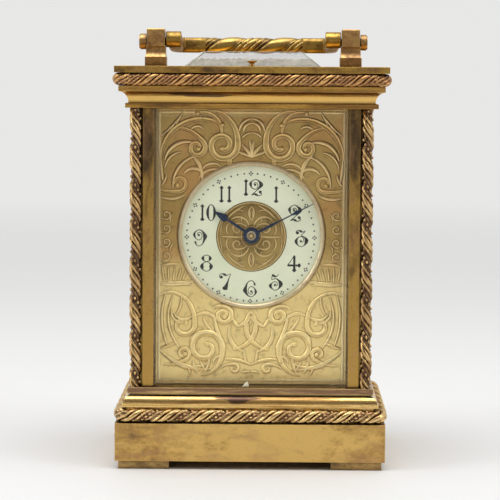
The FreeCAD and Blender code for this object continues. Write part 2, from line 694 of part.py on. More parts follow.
def build_handle():
    front = [("post_foot", "top_high"), ("post_foot", "post_foot_top"),
             ("post_neck", "post_foot_top"), ("post_neck - 0.1", "post_neck_top"),
             ("post_head", "post_neck_top"), ("post_head", "post_high - post_corner"),
             ("post_head - post_corner", "post_high")]
    side = [("post_foot_deep", "top_high"), ("post_foot_deep", "post_foot_top", -0.3),
            ("post_waist_deep", "post_neck_top"), ("post_head_deep", "post_neck_top"),
            ("post_head_deep", "post_high - post_corner"),
            ("post_head_deep - post_corner", "post_high")]
    across = extruded("post_front", "XZ", both_sides(front), "4 * post_foot")
    along = extruded("post_side", "YZ", both_sides(side), "4 * post_foot")
    solid = place(common("post_solid", [across, along]), x="post_x")
    bore = cylinder("bore", "pivot_pin", "4 * post_foot", "post_x - 2 * post_foot", "0",
                    "pivot_level", Y_AXIS, 90)
    post = cut("handle_post", solid, [bore])
    node(group("handle_posts", [post, mirrored(post, X_AXIS)]))

    pivot = turned("handle_pivot", ["bail_arm_x - bail_bar / 2", ("post_x + post_neck", "pivot_pin"),
                                    ("pivot_head_out - 0.4", "pivot_head"),
                                    ("pivot_head_out", "pivot_head - 0.4")],
                   "X", z="pivot_level")
    node(group("handle_pivots", [pivot, mirrored(pivot, X_AXIS)]))

    body = node(new_body("handle_bail"))
    half = "bail_bar / 2"
    outer_x, inner_x = f"bail_arm_x + {half}", f"bail_arm_x - {half}"
    far, near = f"bail_reach + {half}", f"bail_reach - {half}"
    quarter = math.sqrt(2) - 1
    outline = [
        (outer_x, "0"), (outer_x, f"{far} - bail_corner", quarter),
        (f"{outer_x} - bail_corner", far), (f"bail_corner - ({outer_x})", far, quarter),
        (f"-({outer_x})", f"{far} - bail_corner"), (f"-({outer_x})", "0"),
        (f"-({inner_x})", "0"), (f"-({inner_x})", f"{near} - 2", -quarter),
        (f"2 - ({inner_x})", near), (f"{inner_x} - 2", near, -quarter),
        (inner_x, f"{near} - 2"), (inner_x, "0")]
    sketch = new_sketch(body, "XY_Plane", "bail_rise")
    add_outline(sketch, outline)
    pad(body, sketch, "bail_bar", both_ways=True)
    for sign in ("", "-"):
        boss = new_sketch(body, "YZ_Plane", f"{sign}bail_arm_x")
        add_circle(boss, "0", "bail_rise", "boss_radius")
        pad(body, boss, "bail_bar", both_ways=True)
    bore = new_sketch(body, "YZ_Plane")
    add_circle(bore, "0", "0", "pivot_pin + running")
    pocket(body, bore, "4 * bail_arm_x", both_ways=True)
    place(body, z="pivot_level", axis=X_AXIS, angle=-number("bail_droop"))


# ---------------------------------------------------------------- dial and hands

def plate(name, half, low, high, near, thick, holes):
    """Upright rectangular plate; near is how far its back face is in front of the middle."""
    body = new_body(name)
    sketch = new_sketch(body, "XZ_Plane", near)
    add_outline(sketch, [(f"-({half})", low), (half, low), (half, high), (f"-({half})", high)])
    pad(body, sketch, thick)
    cutter = new_sketch(body, "XZ_Plane", near)
    for x, level, radius in holes:
        add_circle(cutter, x, level, radius)
    pocket(body, cutter, through=True, both_ways=True)
    return body


def ring(name, outer, inner, front, back):
    """Flat ring about the dial's axis between two distances in front of the middle."""
    body = new_body(name)
    sketch = new_sketch(body, "XZ_Plane", back)
    add_circle(sketch, "0", "0", outer)
    add_circle(sketch, "0", "0", inner)
    pad(body, sketch, f"{front} - {back}")
    return place(body, z="dial_level")


def dial_feet_places():
    return [(f"{sign}dial_foot_x", level) for sign in ("-", "")
            for level in ("dial_foot_low", "dial_foot_high")]


def build_dial():
    node(plate("dial_mask", "mask_half", "mask_low", "mask_high", "mask_back",
               "mask_front - mask_back", [("0", "dial_level", "mask_hole")]))
    backing = plate("dial_plate", "mask_half", "mask_low", "mask_high", "plate_behind",
                    "mask_back - plate_behind", [("0", "dial_level", "disc_hole + 0.2")])
    feet = new_sketch(backing, "XZ_Plane", "front_out")
    for x, level in dial_feet_places():
        add_circle(feet, x, level, "dial_foot_radius")
    pad(backing, feet, "plate_behind - front_out")
    node(backing)
    bezel = new_body("dial_bezel")
    revolve(bezel, [("-mask_front", "bezel_in"), ("-bezel_front + 0.5", "bezel_in"),
                    ("-bezel_front", "bezel_in + 0.6", -0.5), ("-bezel_front + 0.7", "bezel_out - 0.3"),
                    ("-mask_front - 0.2", "bezel_out"), ("-mask_front", "bezel_out")], "Y")
    node(place(bezel, z="dial_level"))
    node(ring("chapter_ring", "chapter_out", "chapter_in", "mask_front", "mask_back"))
    node(ring("dial_centre", "disc_out", "disc_hole", "disc_front", "mask_back"))
    screws = [turned("screw", ["-front_out", ("-front_in", "0.8"), ("1 - front_in", "1.7")], "Y",
                     x=x, z=level) for x, level in dial_feet_places()]
    node(group("dial_screws", screws))


def hand(name, outline, boss, bore, front, thick, angle):
    """Flat hand that points up before it is turned to its hour."""
    body = node(new_body(name))
    blade = new_sketch(body, "XZ_Plane", f"{front} - {thick}")
    add_outline(blade, outline)
    pad(body, blade, thick)
    middle = new_sketch(body, "XZ_Plane", f"{front} - {thick}")
    add_circle(middle, "0", "0", boss)
    pad(body, middle, thick)
    hole = new_sketch(body, "XZ_Plane", f"{front} - {thick}")
    add_circle(hole, "0", "0", bore)
    pocket(body, hole, through=True, both_ways=True)
    return place(body, z="dial_level", axis=Y_AXIS, angle=number(angle))


def mirrored_outline(right):
    """Close a right-hand outline with its mirror image, for a piece symmetrical about X = 0."""
    inner = [p for p in right if p[0] != "0"]
    tops = [p for p in right if p[0] == "0"]
    return inner + tops + [(f"-({p[0]})", p[1]) for p in reversed(inner)]


def build_hands():
    hand("hour_hand", mirrored_outline([
        ("0.35", "1"), ("0.5", "hour_long - 9.5"), ("0.25", "hour_long - 5.6"),
        ("0.9", "hour_long - 5.4"), ("1.3", "hour_long - 4.9"), ("1.4", "hour_long - 4.2"),
        ("1.1", "hour_long - 3"), ("0.45", "hour_long - 1"), ("0", "hour_long")]),
         "hour_boss", "2", "hour_front", "hour_thick", "hour_angle")
    hand("minute_hand", mirrored_outline([
        ("0.35", "1"), ("0.5", "minute_long - 17"), ("0.22", "minute_long - 13.5"),
        ("0.22", "minute_long - 8.6"), ("0.75", "minute_long - 6.8"), ("0.2", "minute_long - 4.8"),
        ("0.12", "minute_long - 0.3"), ("0", "minute_long")]),
         "minute_boss", "1.2", "minute_front", "minute_thick", "minute_angle")
    collet = new_body("hand_collet")
    revolve(collet, [("-collet_front", "0.7"), ("-collet_front", "0.85"),
                     ("-collet_front + 0.35", "1"), ("-collet_front", "1.15"),
                     ("-collet_front", "collet_radius - 0.3"),
                     ("-collet_front + 0.3", "collet_radius"), ("-minute_front", "collet_radius"),
                     ("-minute_front", "0.7")], "Y")
    node(place(collet, z="dial_level"))


# ---------------------------------------------------------------- movement: plates

def pivot_places():
    """Arbor places with the radius of their front and back pivots."""
    return [
        ("0", "barrel_level", "1.6", "back_bearing"),
        ("inter_x", "inter_level", "0.6", "0.6"),
        ("0", "dial_level", "0.9", "1.2"),
        ("third_x", "third_level", "0.45", "0.45"),
        ("0", "contrate_level", "0.4", "0.4")]


def post_places():
    return [(f"{sign}pillar_post_x", level) for sign in ("-", "")
            for level in ("pillar_post_low", "pillar_post_high")]


def build_plates():
    high_foot = [(x, level, "0.8") for x, level in dial_feet_places()]
    front_holes = [(x, level, f"{front} + running")
                   for x, level, front, back in pivot_places()]
    body = plate("front_plate", "plates_half", "floor_top", "plates_top", "front_in",
                 "front_out - front_in", front_holes + high_foot)
    stud = new_sketch(body, "XZ_Plane", "front_out")
    add_circle(stud, "motion_x", "motion_level", "0.6")
    pad(body, stud, "4.8")
    node(body)
    back_holes = [(x, level, f"{back} + running")
                  for x, level, front, back in pivot_places()]
    back_holes += [(x, level, "0.9") for x, level in post_places()]
    back_holes.append(("click_x", "click_level", "click_screw_radius"))
    node(plate("back_plate", "plates_half", "floor_top", "plates_top", "-back_out",
               "back_out - back_in", back_holes))

    posts = []
    for x, level in post_places():
        posts.append(turned("post", ["-front_in", ("1.5 - front_in", "pillar_post_radius + 0.6"),
                                     ("back_in - 1.5", "pillar_post_radius"),
                                     ("back_in", "pillar_post_radius + 0.6")], "Y", x=x, z=level))
    low_posts = [post for post, place_of in zip(posts, post_places())
                 if place_of[1] == "pillar_post_low"]
    drilled = [cut("post_drilled", post, [cylinder("hole", "1.1", "pillar_post_low - floor_top",
                                                   f"{sign}pillar_post_x", SEAT_Y, "floor_top")])
               for post, sign in zip(low_posts, ("-", ""))]
    node(group("movement_pillars", drilled + [post for post in posts if post not in low_posts]))
    node(group("pillar_screws", [
        turned("screw", ["back_in", ("back_out", "0.9"), ("back_out + 1.3", "2.1")], "Y",
               x=x, z=level) for x, level in post_places()]))
    node(group("seat_screws", [
        turned("screw", ["floor_top - floor_thick - 1.6", ("floor_top - floor_thick", "2.6"),
                         ("pillar_post_low - 0.4", "1.1")], "Z", x=f"{sign}pillar_post_x", y=SEAT_Y)
        for sign in ("-", "")]))


# ---------------------------------------------------------------- movement: power

def build_barrel():
    drum = new_body("barrel_drum")
    bore = "winding_radius + running"
    revolve(drum, [
        ("-barrel_front", bore),
        ("-barrel_front", root_radius("barrel_teeth", "barrel_module", WHEEL_TOOTH)),
        ("-barrel_shoulder", root_radius("barrel_teeth", "barrel_module", WHEEL_TOOTH)),
        ("-barrel_shoulder", "barrel_drum"), ("barrel_back", "barrel_drum"),
        ("barrel_back", "barrel_drum - barrel_wall"), ("-barrel_floor", "barrel_drum - barrel_wall"),
        ("-barrel_floor", bore)], "Y")
    add_teeth(drum, "barrel_teeth", "barrel_module", "-barrel_front",
              "barrel_front - barrel_shoulder", WHEEL_TOOTH)
    half_gap = 180 / number("barrel_teeth")
    node(place(drum, z="barrel_level", axis=Y_AXIS,
               angle=angle_to(barrel_at, inter_at) + half_gap))
    cover = new_body("barrel_cover")
    revolve(cover, [("barrel_back - cover_thick", bore),
                    ("barrel_back - cover_thick", "barrel_drum - barrel_wall"),
                    ("barrel_back", "barrel_drum - barrel_wall"), ("barrel_back", bore)], "Y")
    node(place(cover, z="barrel_level"))
    coil = spiral_strip("mainspring", "spring_inner", "spring_outer", "spring_turns",
                        "spring_strip", ("0", "spring_wide / 2 - barrel_floor / 2 + barrel_back / 2"
                                         " - cover_thick / 2", "barrel_level"),
                        "spring_wide", FreeCAD.Rotation(X_AXIS, 90))
    node(coil)

    arbor = turned("barrel_arbor", [
        "-front_out + 0.2", ("-barrel_front - 1", "1.6"), ("0.3 - barrel_floor", "winding_radius"),
        ("barrel_back - cover_thick - 0.3", "spring_core"), ("back_in - 2", "winding_radius"),
        ("ratchet_near + ratchet_thick", "back_bearing")], "Y", z="barrel_level")
    square = new_sketch(arbor, "XZ_Plane", "-winding_end")
    add_outline(square, rectangle("square_side / 2", "square_side / 2"))
    pad(arbor, square, "winding_end - ratchet_near - ratchet_thick")
    node(arbor)


def build_ratchet():
    """Winding ratchet, its click, the click's screw and its spring, behind the back plate."""
    wheel = new_body("ratchet_wheel")
    disc = new_sketch(wheel, "XZ_Plane", "-ratchet_near - ratchet_thick")
    add_circle(disc, "0", "0", "ratchet_tip - 1.2")
    add_circle(disc, "0", "0", "back_bearing")
    pad(wheel, disc, "ratchet_thick")
    tooth = new_sketch(wheel, "XZ_Plane", "-ratchet_near - ratchet_thick")
    add_outline(tooth, [("-1.3", "ratchet_tip - 1.6"), ("0", "ratchet_tip - 1.5"),
                        ("0", "ratchet_tip")])
    polar(wheel, pad(wheel, tooth, "ratchet_thick"), "Y", "ratchet_teeth")
    node(place(wheel, z="barrel_level"))

    click = new_body("click")
    lever = new_sketch(click, "XZ_Plane", "-ratchet_near - ratchet_thick")
    add_outline(lever, [("-1.9", "0.6"), ("-1.9", "-0.8"), ("1.9", "-6"), ("3.3", "-6.2"),
                        ("3.0", "-5"), ("1.9", "0.6")])
    pad(click, lever, "ratchet_thick")
    eye = new_sketch(click, "XZ_Plane", "-ratchet_near - ratchet_thick")
    add_circle(eye, "0", "0", "2.1")
    pad(click, eye, "ratchet_thick")
    hole = new_sketch(click, "XZ_Plane", "-ratchet_near - ratchet_thick")
    add_circle(hole, "0", "0", "click_screw_radius + running")
    pocket(click, hole, through=True, both_ways=True)
    node(place(click, "click_x", "0", "click_level"))
    node(turned("click_screw", ["back_in", ("ratchet_near + ratchet_thick + 0.1",
                                            "click_screw_radius"),
                                ("ratchet_near + ratchet_thick + 1.1", "2")], "Y",
                x="click_x", z="click_level"))
    spring = new_body("click_spring")
    strip = new_sketch(spring, "XZ_Plane", "-ratchet_near - 1.4")
    add_outline(strip, [("-20", "44"), ("-16", "44"), ("-16", "47.5"), ("-15.6", "51", -0.1),
                        ("-14.8", "56.5"), ("-15.3", "56.6", 0.1), ("-16.4", "51"),
                        ("-17.2", "48"), ("-20", "48")])
    pad(spring, strip, "1.4 + ratchet_near - back_out")
    node(spring)


# ---------------------------------------------------------------- movement: going train

def wheel_and_pinion(name, arbor_steps, wheel, pinion, x, level, wheel_turn, pinion_turn):
    """An arbor with one wheel and one pinion; each set of teeth has its own angle on the arbor."""
    body = new_body(name)
    revolve(body, stepped(arbor_steps), "Y")
    for kind, teeth, module, near, thick, tooth, turn in (
            ("wheel",) + wheel + (WHEEL_TOOTH, wheel_turn),
            ("pinion",) + pinion + (PINION_LEAF, pinion_turn)):
        rim = root_radius(teeth, module, tooth)
        add_crossed_disc(body, rim, near, thick, crossed=(kind == "wheel"))
        add_turned_teeth(body, teeth, module, near, thick, tooth, turn)
    return node(place(body, x, "0", level))


def add_crossed_disc(body, rim, near, thick, crossed):
    """Disc of a wheel, with four windows that leave spokes when it is a large one."""
    disc = new_sketch(body, "XZ_Plane", f"-({near}) - ({thick})")
    add_circle(disc, "0", "0", rim)
    feature = pad(body, disc, thick)
    if not crossed:
        return feature
    window = new_sketch(body, "XZ_Plane", f"-({near}) - ({thick})")
    outer, inner, spoke = f"({rim}) * 0.62", f"({rim}) * 0.2 + 1.2", "0.7"
    add_outline(window, [(spoke, inner), (inner, spoke), (outer, spoke, 0.38), (spoke, outer)])
    opening = pocket(body, window, thick)
    return polar(body, opening, "Y", "4")


def add_turned_teeth(body, teeth, module, near, thick, tooth, turn):
    """Teeth drawn with the first one at an angle, clockwise from the front, from straight up."""
    above, below, root, pitch, tip = tooth
    circle = f"{module} * {teeth} / 2"
    sin_turn, cos_turn = math.sin(math.radians(turn)), math.cos(math.radians(turn))

    def spot(across, up):
        return (f"({across}) * {cos_turn:.9f} + ({up}) * {sin_turn:.9f}",
                f"({up}) * {cos_turn:.9f} - ({across}) * {sin_turn:.9f}")

    sketch = new_sketch(body, "XZ_Plane", f"-({near}) - ({thick})")
    half = [(f"{root} * {module}", f"{circle} - {below + 0.4} * {module}"),
            (f"{root} * {module}", f"{circle} - {below} * {module}"),
            (f"{pitch} * {module}", circle),
            (f"{tip} * {module}", f"{circle} + {above} * {module}")]
    outline = [spot(x, up) for x, up in half] + [spot(f"-{x}", up) for x, up in reversed(half)]
    add_outline(sketch, outline)
    return polar(body, pad(body, sketch, thick), "Y", teeth)


def build_train():
    wheel_and_pinion(
        "intermediate_wheel",
        ["-front_out + 0.3", ("0.4 - front_in", "0.6"), ("back_in - 0.4", "1.2"),
         ("back_out - 0.3", "0.6")],
        ("inter_teeth", "inter_module", "9.5", "1.5"), ("great_pinion", "barrel_module", "-18", "4"),
        "inter_x", "inter_level",
        angle_to(inter_at, centre_at) + 180 / number("inter_teeth"), angle_to(inter_at, barrel_at))
    centre = wheel_and_pinion(
        "centre_wheel",
        ["-arbor_front", ("-front_out - 0.2", "0.7"), ("0.4 - front_in", "0.9"),
         ("back_in - 0.4", "1.1"), ("back_out + 0.6", "1.2")],
        ("centre_teeth", "centre_module", "-6", "1.3"),
        ("centre_pinion", "inter_module", "8", "4.5"), "0", "dial_level",
        angle_to(centre_at, third_at) + 180 / number("centre_teeth"), angle_to(centre_at, inter_at))
    square = new_sketch(centre, "XZ_Plane", "-back_out - 8")
    add_outline(square, rectangle("0.84", "0.84"))
    pad(centre, square, "7.4")
    wheel_and_pinion(
        "third_wheel",
        ["-front_out + 0.3", ("0.4 - front_in", "0.45"), ("back_in - 0.4", "0.8"),
         ("back_out - 0.3", "0.45")],
        ("third_teeth", "third_module", "1.5", "1.2"),
        ("third_pinion", "centre_module", "-7.6", "4.6"), "third_x", "third_level",
        angle_to(third_at, contrate_at) + 180 / number("third_teeth"), angle_to(third_at, centre_at))


def build_contrate():
    """Contrate wheel: its teeth stand forward from the rim to turn the upright escape pinion."""
    pitch = "contrate_module * contrate_teeth / 2"
    line = "escape_y + contrate_module * escape_pinion / 2"
    body = new_body("contrate_wheel")
    revolve(body, stepped(["-front_out + 0.3", ("0.4 - front_in", "0.4"), ("back_in - 0.4", "0.7"),
                           ("back_out - 0.3", "0.4")]), "Y")
    add_crossed_disc(body, f"{pitch} + 0.5", "-9", "1", crossed=True)
    wall = new_sketch(body, "XZ_Plane", "8.5")
    add_circle(wall, "0", "0", f"{pitch} + 0.5")
    add_circle(wall, "0", "0", f"{pitch} - 0.5")
    pad(body, wall, f"-({line}) - 0.35 - 8.5")
    tooth = new_sketch(body, "XY_Plane", f"{pitch} - 0.43")
    half = [("0.5 * contrate_module", f"{line} + 0.45"), ("0.42 * contrate_module", line),
            ("0.18 * contrate_module", f"{line} - 0.6 * contrate_module")]
    add_outline(tooth, half + [(f"-{x}", y) for x, y in reversed(half)])
    polar(body, pad(body, tooth, "0.84"), "Y", "contrate_teeth")
    add_crossed_disc(body, root_radius("contrate_pinion", "third_module", PINION_LEAF),
                     "-0.5", "5.5", crossed=False)
    add_turned_teeth(body, "contrate_pinion", "third_module", "-0.5", "5.5", PINION_LEAF,
                     angle_to(contrate_at, third_at))
    node(place(body, "0", "0", "contrate_level"))


def build_motion_work():
    """Gears behind the dial that slow the minute hand's turn twelve times for the hour hand."""
    cannon = new_body("cannon_pinion")
    bore = "0.7"
    leaf_root = root_radius("cannon_teeth", "motion_module", PINION_LEAF)
    revolve(cannon, [("-minute_front + 0.1", bore), ("-minute_front + 0.1", "1.2"), ("-24", "1.2"),
                     ("-24", leaf_root), ("-22.8", leaf_root), ("-22.8", "1.2"), ("-22.4", "1.2"),
                     ("-22.4", bore)], "Y")
    add_teeth(cannon, "cannon_teeth", "motion_module", "-24", "1.2", PINION_LEAF)
    node(place(cannon, "0", "0", "dial_level", Y_AXIS, angle_to(centre_at, motion_at)))

    body = new_body("minute_wheel")
    wheel_root = root_radius("motion_teeth", "motion_module", WHEEL_TOOTH)
    small_root = root_radius("minute_pinion", "hour_module", PINION_LEAF)
    stud = "0.6 + running"
    revolve(body, [("-26.6", stud), ("-26.6", small_root), ("-24", small_root),
                   ("-24", wheel_root), ("-22.8", wheel_root), ("-22.8", stud)], "Y")
    add_turned_teeth(body, "motion_teeth", "motion_module", "-24", "1.2", WHEEL_TOOTH,
                     angle_to(motion_at, centre_at) + 180 / number("motion_teeth"))
    add_turned_teeth(body, "minute_pinion", "hour_module", "-26.6", "2.6", PINION_LEAF,
                     angle_to(motion_at, centre_at))
    node(place(body, "motion_x", "0", "motion_level"))

    body = new_body("hour_wheel")
    wheel_root = root_radius("hour_teeth", "hour_module", WHEEL_TOOTH)
    pipe = "1.28"
    revolve(body, [("-hour_front - 0.1", pipe), ("-hour_front - 0.1", "2"), ("-26.4", "2"),
                   ("-26.4", wheel_root), ("-25.2", wheel_root), ("-25.2", pipe)], "Y")
    add_teeth(body, "hour_teeth", "hour_module", "-26.4", "1.2", WHEEL_TOOTH)
    node(place(body, "0", "0", "dial_level", Y_AXIS,
               angle_to(centre_at, motion_at) + 180 / number("hour_teeth")))


# ---------------------------------------------------------------- movement: platform escapement

def build_platform():
    top = "plates_top + platform_thick"
    body = new_body("platform_plate")
    sketch = new_sketch(body, "XY_Plane", "plates_top")
    add_outline(sketch, [("-platform_half", "-front_out"), ("platform_half", "-front_out"),
                         ("platform_half", "back_out"), ("-platform_half", "back_out")])
    pad(body, sketch, "platform_thick")
    holes = new_sketch(body, "XY_Plane", "plates_top")
    add_circle(holes, "0", "escape_y", "1.5")
    add_circle(holes, "0", "lever_y", "0.3")
    add_circle(holes, "0", "balance_y", "0.35")
    for x, y in platform_screw_places():
        add_circle(holes, x, y, "0.8")
    pocket(body, holes, through=True, both_ways=True)
    drop = new_sketch(body, "YZ_Plane")
    add_outline(drop, [("-17.5", "plates_top + 0.5"), ("-17.5", "109.6"), ("-11.4", "109.6"),
                       ("-11.4", "110.6"), ("-15.5", "110.6"), ("-15.5", "plates_top + 0.5")])
    pad(body, drop, "3", both_ways=True)
    jewel = new_sketch(body, "XY_Plane", "109")
    add_circle(jewel, "0", "escape_y", "0.3")
    pocket(body, jewel, "2")
    node(body)
    node(group("platform_screws", [
        turned("screw", ["plates_top - 1.9", (top, "0.8"), (f"{top} + 0.9", "1.7")], "Z", x=x, y=y)
        for x, y in platform_screw_places()]))
    for name, front in (("front_plate", True), ("back_plate", False)):
        add_top_screw_holes(name, front)


def platform_screw_places():
    return [(f"{sign}(platform_half - 2.5)", y) for sign in ("-", "")
            for y in ("-(front_out + front_in) / 2", "(back_out + back_in) / 2")]


def add_top_screw_holes(name, front):
    """Holes in the top edge of a movement plate for the screws of the platform."""
    body = next(thing for thing in nodes if thing.Label == name)
    holes = new_sketch(body, "XY_Plane", "plates_top")
    for x, y in platform_screw_places():
        if y.startswith("-") == front:
            add_circle(holes, x, y, "0.8")
    pocket(body, holes, "2")


def build_escape_wheel():
    body = new_body("escape_wheel")
    low, thick = "action_level", "action_thick"
    revolve(body, stepped(["110.1", ("110.7", "0.25"), ("bridge_level - 0.3", "0.45"),
                           ("bridge_level + bridge_thick", "0.25")]), "Z")
    disc = new_sketch(body, "XY_Plane", low)
    add_circle(disc, "0", "0", "escape_tip - 1.1")
    pad(body, disc, thick)
    window = new_sketch(body, "XY_Plane", low)
    add_outline(window, [("0.35", "1.1"), ("1.1", "0.35"), ("2.2", "0.35", 0.38), ("0.35", "2.2")])
    polar(body, pocket(body, window, thick), "Z", "4")
    tooth = new_sketch(body, "XY_Plane", low)
    add_outline(tooth, [("-0.45", "escape_tip - 1.3"), ("0.4", "escape_tip - 1.3"),
                        ("0.75", "escape_tip - 0.25"), ("0.35", "escape_tip - 0.05"),
                        ("0.2", "escape_tip - 0.35")])
    polar(body, pad(body, tooth, thick), "Z", "escape_teeth")
    core = new_sketch(body, "XY_Plane", "111")
    add_circle(core, "0", "0", root_radius("escape_pinion", "contrate_module", PINION_LEAF))
    pad(body, core, "2.4")
    add_teeth(body, "escape_pinion", "contrate_module", "111", "2.4", PINION_LEAF, axis="Z")
    half_leaf = 180 / number("escape_pinion")
    node(place(body, "0", "escape_y", "0", Z_AXIS, half_leaf))


def build_lever():
    """Pallet lever: the pallets stand just clear of the escape wheel's tips."""
    body = new_body("pallet_lever")
    low, thick = "action_level", "action_thick"
    revolve(body, stepped(["plates_top + 0.5", ("plates_top + platform_thick + 0.1", "0.25"),
                           ("bridge_level - 0.3", "0.4"),
                           ("bridge_level + bridge_thick", "0.25")]), "Z")
    arms = new_sketch(body, "XY_Plane", low)
    add_outline(arms, mirrored_outline([
        ("2.3", "-1.3"), ("3", "-1.2"), ("2.8", "0.2"), ("0.7", "0.9"), ("0.35", "5.2"),
        ("1", "5.8"), ("1", "6.9"), ("0.45", "6.9"), ("0.45", "6"), ("0", "5.9")])[:-1])
    node(place(body, "0", "lever_y"))
    pad(body, arms, thick)


def build_balance():
    body = new_body("balance_wheel")
    revolve(body, stepped(["plates_top + 0.4", ("plates_top + platform_thick + 0.1", "0.3"),
                           ("122.6", "0.5"), ("123", "1.6"), ("balance_level", "0.6"),
                           ("balance_level + balance_thick", "1.1"), ("cock_level - 0.3", "0.6"),
                           ("cock_level + cock_thick", "0.3")]), "Z")
    rim = new_sketch(body, "XY_Plane", "balance_level")
    add_circle(rim, "0", "0", "balance_radius")
    add_circle(rim, "0", "0", "balance_radius - 1")
    spokes = new_sketch(body, "XY_Plane", "balance_level")
    add_outline(spokes, rectangle("balance_radius - 0.5", "0.6"))
    pad(body, spokes, "balance_thick * 0.6")
    pad(body, rim, "balance_thick")
    pin = new_sketch(body, "XY_Plane", "122.25")
    add_circle(pin, "0", "-1.2", "0.2")
    pad(body, pin, "0.6")
    node(place(body, "0", "balance_y"))
    node(spiral_strip("hairspring", "coil_inner", "coil_outer", "coil_turns", "coil_strip",
                      ("0", "balance_y", "coil_level"), "coil_wide", FreeCAD.Rotation()))


def build_cocks():
    """Balance cock, the regulator that turns on it, and the bridge of the escape wheel and lever."""
    body = new_body("balance_cock")
    foot = new_sketch(body, "XY_Plane", "plates_top + platform_thick")
    add_outline(foot, [("9.8", "8.4"), ("14.6", "8.4"), ("14.6", "13"), ("9.8", "13")])
    pad(body, foot, "cock_level + cock_thick - plates_top - platform_thick")
    arm = new_sketch(body, "XY_Plane", "cock_level")
    add_outline(arm, [("14.6", "8.4"), ("14.6", "13"), ("9.8", "13"),
                      ("-1.6", "balance_y + 2.2"), ("1.6", "balance_y - 2.2")])
    pad(body, arm, "cock_thick")
    eye = new_sketch(body, "XY_Plane", "cock_level")
    add_circle(eye, "0", "balance_y", "2.8")
    pad(body, eye, "cock_thick")
    cap = new_sketch(body, "XY_Plane", "cock_level + cock_thick")
    add_circle(cap, "0", "balance_y", "1.3")
    pad(body, cap, "0.5")
    hole = new_sketch(body, "XY_Plane", "cock_level")
    add_circle(hole, "0", "balance_y", "0.35")
    pocket(body, hole, "cock_thick + 0.3")
    node(body)

    index = new_body("regulator_index")
    top = "cock_level + cock_thick"
    ring_of = new_sketch(index, "XY_Plane", top)
    add_circle(ring_of, "0", "0", "2.4")
    add_circle(ring_of, "0", "0", "1.3 + running")
    pad(index, ring_of, "0.45")
    pointer = new_sketch(index, "XY_Plane", top)
    add_outline(pointer, [("-0.5", "-2.1"), ("-0.15", "-7.6"), ("0.15", "-7.6"), ("0.5", "-2.1")])
    pad(index, pointer, "0.45")
    node(place(index, "0", "balance_y", "0", Z_AXIS, -20))

    bridge = new_body("escape_bridge")
    feet = new_sketch(bridge, "XY_Plane", "plates_top + platform_thick")
    for sign in ("-", ""):
        add_circle(feet, f"{sign}8.5", "escape_y + 3", "1.7")
    pad(bridge, feet, "bridge_level + bridge_thick - plates_top - platform_thick")
    deck = new_sketch(bridge, "XY_Plane", "bridge_level")
    add_outline(deck, mirrored_outline([
        ("2", "escape_y - 2"), ("9", "escape_y + 1.4"), ("10", "escape_y + 3.2"),
        ("8.5", "escape_y + 4.6"), ("2", "escape_y + 6.8")]))
    pad(bridge, deck, "bridge_thick")
    holes = new_sketch(bridge, "XY_Plane", "bridge_level")
    add_circle(holes, "0", "escape_y", "0.3")
    add_circle(holes, "0", "lever_y", "0.3")
    pocket(bridge, holes, "bridge_thick")
    node(bridge)


# ---------------------------------------------------------------- build, check and write

build_feet()
build_plinth()
build_rope("base_rope", "base_rope_out", "base_rope_radius", "base_rope_level")
build_base_moulding()
build_pillars()
build_columns()
build_panes()
build_cornice()
build_rope("top_rope", "top_rope_out", "top_rope_radius", "top_rope_level")
build_top_plate()
build_top_glass()
build_door()
build_handle()
build_dial()
build_hands()
build_plates()
build_barrel()
build_ratchet()
build_train()
build_contrate()
build_motion_work()
build_platform()
build_escape_wheel()
build_lever()
build_balance()
build_cocks()
doc.recompute()

for thing in doc.Objects:
    if "Invalid" in thing.State or "Error" in thing.State:
        raise RuntimeError(f"{thing.Label} ({thing.TypeId}) is {thing.State}")
for thing in nodes:
    if thing.Shape.isNull() or not thing.Shape.isValid() or not thing.Shape.Solids:
        raise RuntimeError(f"{thing.Label} has no valid solid")

os.makedirs("parts", exist_ok=True)
for thing in nodes:
    thing.Shape.exportStep(os.path.join("parts", thing.Label + ".step"))
print(f"{len(nodes)} sub-parts written")
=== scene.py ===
import json
import math

import bmesh
import bpy
import numpy as np
from mathutils import Matrix, Vector


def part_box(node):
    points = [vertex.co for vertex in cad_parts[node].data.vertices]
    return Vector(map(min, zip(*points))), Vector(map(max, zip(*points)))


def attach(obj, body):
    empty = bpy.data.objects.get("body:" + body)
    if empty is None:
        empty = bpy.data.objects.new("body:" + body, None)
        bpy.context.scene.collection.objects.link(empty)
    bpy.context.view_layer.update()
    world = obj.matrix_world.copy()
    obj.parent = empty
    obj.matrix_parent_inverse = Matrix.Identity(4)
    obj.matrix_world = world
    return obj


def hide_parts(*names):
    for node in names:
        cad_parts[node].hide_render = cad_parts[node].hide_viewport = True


# Looks of the carriage clock: aged gilt case, rope mouldings, engraved dial mask, enamel chapter
# ring, glass and movement. Shapes are written in millimetres and scaled as they are made.

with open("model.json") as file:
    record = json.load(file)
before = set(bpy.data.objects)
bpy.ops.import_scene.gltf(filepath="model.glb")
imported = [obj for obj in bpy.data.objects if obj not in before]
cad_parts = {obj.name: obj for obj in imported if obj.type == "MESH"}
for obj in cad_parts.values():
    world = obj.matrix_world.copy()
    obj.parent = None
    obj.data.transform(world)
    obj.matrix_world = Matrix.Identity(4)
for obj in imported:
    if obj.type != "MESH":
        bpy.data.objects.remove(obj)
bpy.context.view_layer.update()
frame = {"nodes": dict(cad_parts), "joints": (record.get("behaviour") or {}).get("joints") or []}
MM = 0.001


# ---------------------------------------------------------------- places taken from the frame

def corners(node):
    """Lowest and highest corners of a CAD node, in millimetres."""
    low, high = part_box(node)
    return low / MM, high / MM


